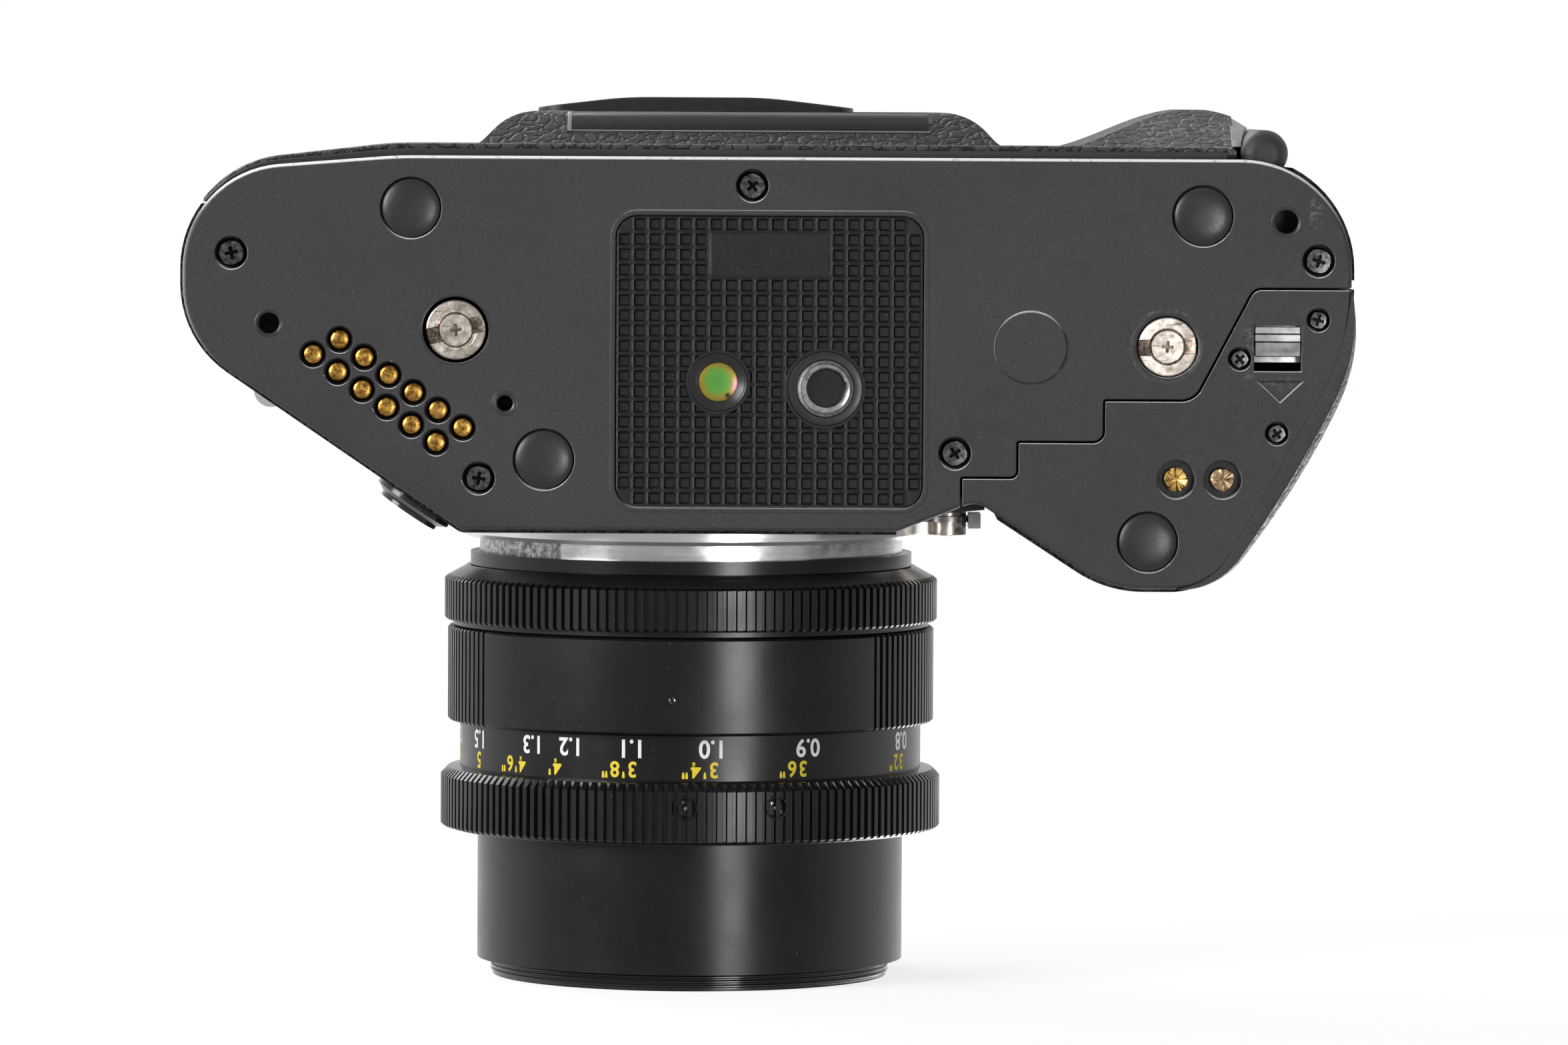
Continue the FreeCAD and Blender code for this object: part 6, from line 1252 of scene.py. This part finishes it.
GRIP_SCREW_Y, GRIP_SCREW_FACE_R = -57.7, 35.22
SET_SCREW_Y, SET_SCREW_FACE_R = -43.0, 34.12
for name, turn_deg, slot_turn in (("grip_screw_a", -0.3, 60), ("grip_screw_b", 20.4, 40)):
    lens_screw(name, turn_deg, GRIP_SCREW_Y, GRIP_SCREW_FACE_R, 1.3, 0.2, slot_turn, "focus_ring")
lens_screw("set_screw", -3.6, SET_SCREW_Y, SET_SCREW_FACE_R, 0.66, 0.13, 60, "lens")


def rim_threads():
    """Three gloss ridges on the front rim, below the hood's mouth."""
    front = box_mm("focus_barrel")[0][1]
    rows = [(26.9, front + 2.3), (27.62, front + 2.3)]
    for step in range(3):
        start = front + 2.2 - step * 0.62
        rows += [(27.66, start), (27.92, start - 0.18), (27.92, start - 0.34), (27.66, start - 0.5)]
    rows += [(27.66, front + 0.3), (27.4, front + 0.05), (26.9, front + 0.05)]
    piece("rim_threads", [about_lens(rows, full_turn(144))], LOOKS["gloss_black"], "front_barrel",
          crease=25.0)


rim_threads()


# Dials on the top

KNURL_DEEP = 0.3
CROWN_IN = 1.3
DISH_DEEP = 0.12


def knurled_dial(node, count):
    """A dial with a finely ribbed rim, a dished top and a plain skirt, in the node's own box. Gives the
    radius and the level of the dish."""
    low, high = box_mm(node)
    centre = (low + high) / 2
    outer = (high[0] - low[0]) / 2
    tall = high[2] - low[2]
    rows = [(0, low[2]), (outer - 0.4, low[2]), (outer - 0.35, low[2] + tall * 0.18),
            (outer - 0.25, low[2] + tall * 0.20), (outer, low[2] + tall * 0.24),
            (outer, high[2] - 0.6), (outer - 0.35, high[2] - 0.2), (outer - CROWN_IN, high[2]),
            (outer - CROWN_IN - 0.3, high[2]), (outer - CROWN_IN - 0.45, high[2] - DISH_DEEP),
            (0, high[2] - DISH_DEEP)]
    weight = [0, 0, 0, 0, 1, 1, 0.6, 0, 0, 0, 0]
    parts = np.array([0.0, 0.45, 0.6, 0.85])
    turns = ((np.arange(count)[:, None] + parts) / count).ravel() * 2 * math.pi
    sink = np.tile([0.0, 0.0, 1.0, 1.0], count)
    grid = about_rows(rows, centre, turns, sink * KNURL_DEEP, weight)
    piece(node + "_knurled", [patch(grid, around=True)], LOOKS["control_metal"], BODY_OF[node],
          [node])
    return outer - CROWN_IN - 0.5, high[2] - DISH_DEEP


def dial_figures(node, words_list, height, first_deg, step_deg, radius, z):
    """Flat figures round a dial's top, feet inwards."""
    low, high = box_mm(node)
    centre = (low + high) / 2
    for index, words in enumerate(words_list):
        turn = math.radians(first_deg + index * step_deg)
        outward = np.array([math.cos(turn), math.sin(turn), 0])
        across = np.array([math.sin(turn), -math.cos(turn), 0])
        flat, thing = figure_mesh(f"{node}_figure_{index}", words, height)
        placed = (np.array([centre[0], centre[1], z + FIGURE_LIFT]) + outward * radius
                  + flat[:, :1] * across + flat[:, 1:] * outward)
        finish_figure(thing, placed, FIGURE_WHITE, BODY_OF[node])


SPEEDS = ("B", "1", "2", "4", "8", "15", "30", "60", "125", "250", "500", "1000", "2000")
FILM_SPEEDS = ("25", "50", "100", "200", "400", "800", "1600", "3200")
# Dial, ribs, figures, their height, the step between them and their distance from the dish's edge
for node, ribs, figures, height, step_deg, inset in (
        ("shutter_dial", 60, SPEEDS, 1.05, -27.0, 0.95), ("mode_dial", 54, FILM_SPEEDS, 1.1, -40.0, 1.0)):
    dial_room, dial_top = knurled_dial(node, ribs)
    dial_figures(node, figures, height, 90, step_deg, dial_room - inset, dial_top)

APERTURES = ("2", "2.8", "4", "5.6", "8", "11", "16", "22")
APERTURE_STEP_DEG = 11.0
APERTURE_FIGURE_Y = -30.7
aperture_low, aperture_high = box_mm("aperture_ring")
aperture_outer = (aperture_high[0] - aperture_low[0]) / 2
for index, words in enumerate(APERTURES):
    wrapped_text(f"aperture_figure_{index}", words, 2.6, 180 + (index - 3.5) * APERTURE_STEP_DEG,
                 APERTURE_FIGURE_Y, aperture_outer + FIGURE_LIFT, FIGURE_WHITE, "aperture_ring")


# Floor, world and lamps

def stage_plane(name, corners, body):
    """A plane that only camera rays on its front side see. It keeps shadows and blocks nothing. It goes
    along with the body that stands on it, so that nothing sinks into it when that body moves."""
    mesh = bpy.data.meshes.new(name)
    mesh.from_pydata([tuple(c * MM for c in corner) for corner in corners], [], [(0, 1, 2, 3)])
    plane = bpy.data.objects.new(name, mesh)
    bpy.context.scene.collection.objects.link(plane)
    material = bpy.data.materials.new(name)
    material.use_nodes = True
    tree = material.node_tree
    tree.nodes.clear()
    link = tree.links.new
    made = {key: tree.nodes.new(kind) for key, kind in (
        ("out", "ShaderNodeOutputMaterial"), ("mix", "ShaderNodeMixShader"),
        ("clear", "ShaderNodeBsdfTransparent"), ("pale", "ShaderNodeBsdfDiffuse"),
        ("glow", "ShaderNodeEmission"), ("sum", "ShaderNodeAddShader"), ("side", "ShaderNodeNewGeometry"))}
    made["pale"].inputs["Color"].default_value = (0.34, 0.34, 0.345, 1)
    made["glow"].inputs["Color"].default_value = (1, 1, 1, 1)
    made["glow"].inputs["Strength"].default_value = 0.80
    link(made["pale"].outputs[0], made["sum"].inputs[0])
    link(made["glow"].outputs[0], made["sum"].inputs[1])
    link(made["side"].outputs["Backfacing"], made["mix"].inputs[0])
    link(made["sum"].outputs[0], made["mix"].inputs[1])
    link(made["clear"].outputs[0], made["mix"].inputs[2])
    link(made["mix"].outputs[0], made["out"].inputs["Surface"])
    plane.data.materials.append(material)
    for ray in ("diffuse", "glossy", "transmission", "shadow"):
        setattr(plane, f"visible_{ray}", False)
    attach(plane, body)


REACH = 700.0
SQUARE = ((-1, -1), (1, -1), (1, 1), (-1, 1))
_, rest_y, floor_z = np.array(bounds_at_load[0]) / MM
stage_plane("pale_floor", [(REACH * a, REACH * b, floor_z) for a, b in SQUARE], "battery_grip")
stage_plane("pale_rest", [(REACH * a, rest_y, -REACH * b) for a, b in SQUARE], "hood")


def pale_world():
    """A dim even surround that camera, mirror and glass rays see as white. Behind the photo's camera,
    where its direction has a low z, mirror rays see a darker room instead."""
    world = bpy.data.worlds.new("pale_surround")
    bpy.context.scene.world = world
    world.use_nodes = True
    tree = world.node_tree
    tree.nodes.clear()
    link = tree.links.new
    out = tree.nodes.new("ShaderNodeOutputWorld")
    dim, white, room = (tree.nodes.new("ShaderNodeBackground") for _ in range(3))
    for node, level in ((dim, 0.28), (white, 1.0), (room, 0.42)):
        node.inputs["Color"].default_value = (1, 1, 1, 1)
        node.inputs["Strength"].default_value = level
    rays = tree.nodes.new("ShaderNodeLightPath")
    place = tree.nodes.new("ShaderNodeTexCoord")
    parts = tree.nodes.new("ShaderNodeSeparateXYZ")
    link(place.outputs["Generated"], parts.inputs[0])
    behind = tree.nodes.new("ShaderNodeMapRange")
    for name, value in (("From Min", -0.45), ("From Max", 0.15), ("To Min", 1.0), ("To Max", 0.0)):
        behind.inputs[name].default_value = value
    link(parts.outputs["Z"], behind.inputs["Value"])
    dark = tree.nodes.new("ShaderNodeMath")
    dark.operation = "MULTIPLY"
    link(behind.outputs["Result"], dark.inputs[0])
    link(rays.outputs["Is Glossy Ray"], dark.inputs[1])
    seen, mirrored = (tree.nodes.new("ShaderNodeMath") for _ in range(2))
    seen.operation = mirrored.operation = "MAXIMUM"
    link(rays.outputs["Is Camera Ray"], seen.inputs[0])
    link(rays.outputs["Is Glossy Ray"], seen.inputs[1])
    link(seen.outputs[0], mirrored.inputs[0])
    link(rays.outputs["Is Transmission Ray"], mirrored.inputs[1])
    first, second = (tree.nodes.new("ShaderNodeMixShader") for _ in range(2))
    for target, factor, low, high in ((first, mirrored, dim, white), (second, dark, first, room)):
        link(factor.outputs[0], target.inputs[0])
        link(low.outputs[0], target.inputs[1])
        link(high.outputs[0], target.inputs[2])
    link(second.outputs[0], out.inputs["Surface"])


LAMP_AIM = Vector((5.0, -15.0, 45.0))


def lamp(name, place, size, watts):
    """A square soft lamp that looks at the middle of the object."""
    light = bpy.data.lights.new(name, "AREA")
    light.shape = "SQUARE"
    light.size = size * MM
    light.energy = watts
    holder = bpy.data.objects.new(name, light)
    bpy.context.scene.collection.objects.link(holder)
    holder.location = Vector(place) * MM
    holder.rotation_euler = (LAMP_AIM - Vector(place)).to_track_quat("-Z", "Y").to_euler()


pale_world()
lamp("lamp_key", (700, 260, -450), 420, 6.5)
lamp("lamp_soft_right", (-285, -60, -690), 190, 1.7)
lamp("lamp_top_front", (-350, -500, 650), 500, 5.0)
lamp("lamp_top_back", (400, 500, 600), 500, 4.0)

# Camera of the photograph

lens_camera = bpy.data.cameras.new("photo_camera")
lens_camera.sensor_width = SENSOR_WIDE
lens_camera.lens = EYE_FOCAL
lens_camera.clip_start = CLIP_NEAR_M
lens_camera.clip_end = CLIP_FAR_M
photo_camera = bpy.data.objects.new("photo_camera", lens_camera)
bpy.context.scene.collection.objects.link(photo_camera)
ahead = Vector((0, -math.sin(EYE_PITCH), math.cos(EYE_PITCH)))
level_right = Vector((-1, 0, 0))
level_up = level_right.cross(ahead)
right = level_right * math.cos(EYE_ROLL) + level_up * math.sin(EYE_ROLL)
up = level_up * math.cos(EYE_ROLL) - level_right * math.sin(EYE_ROLL)
turned_frame = Matrix((right, up, -ahead)).transposed()
photo_camera.matrix_world = Matrix.Translation(Vector(EYE) * MM) @ turned_frame.to_4x4()
bpy.context.scene.camera = photo_camera
bpy.context.scene.view_settings.view_transform = "Standard"
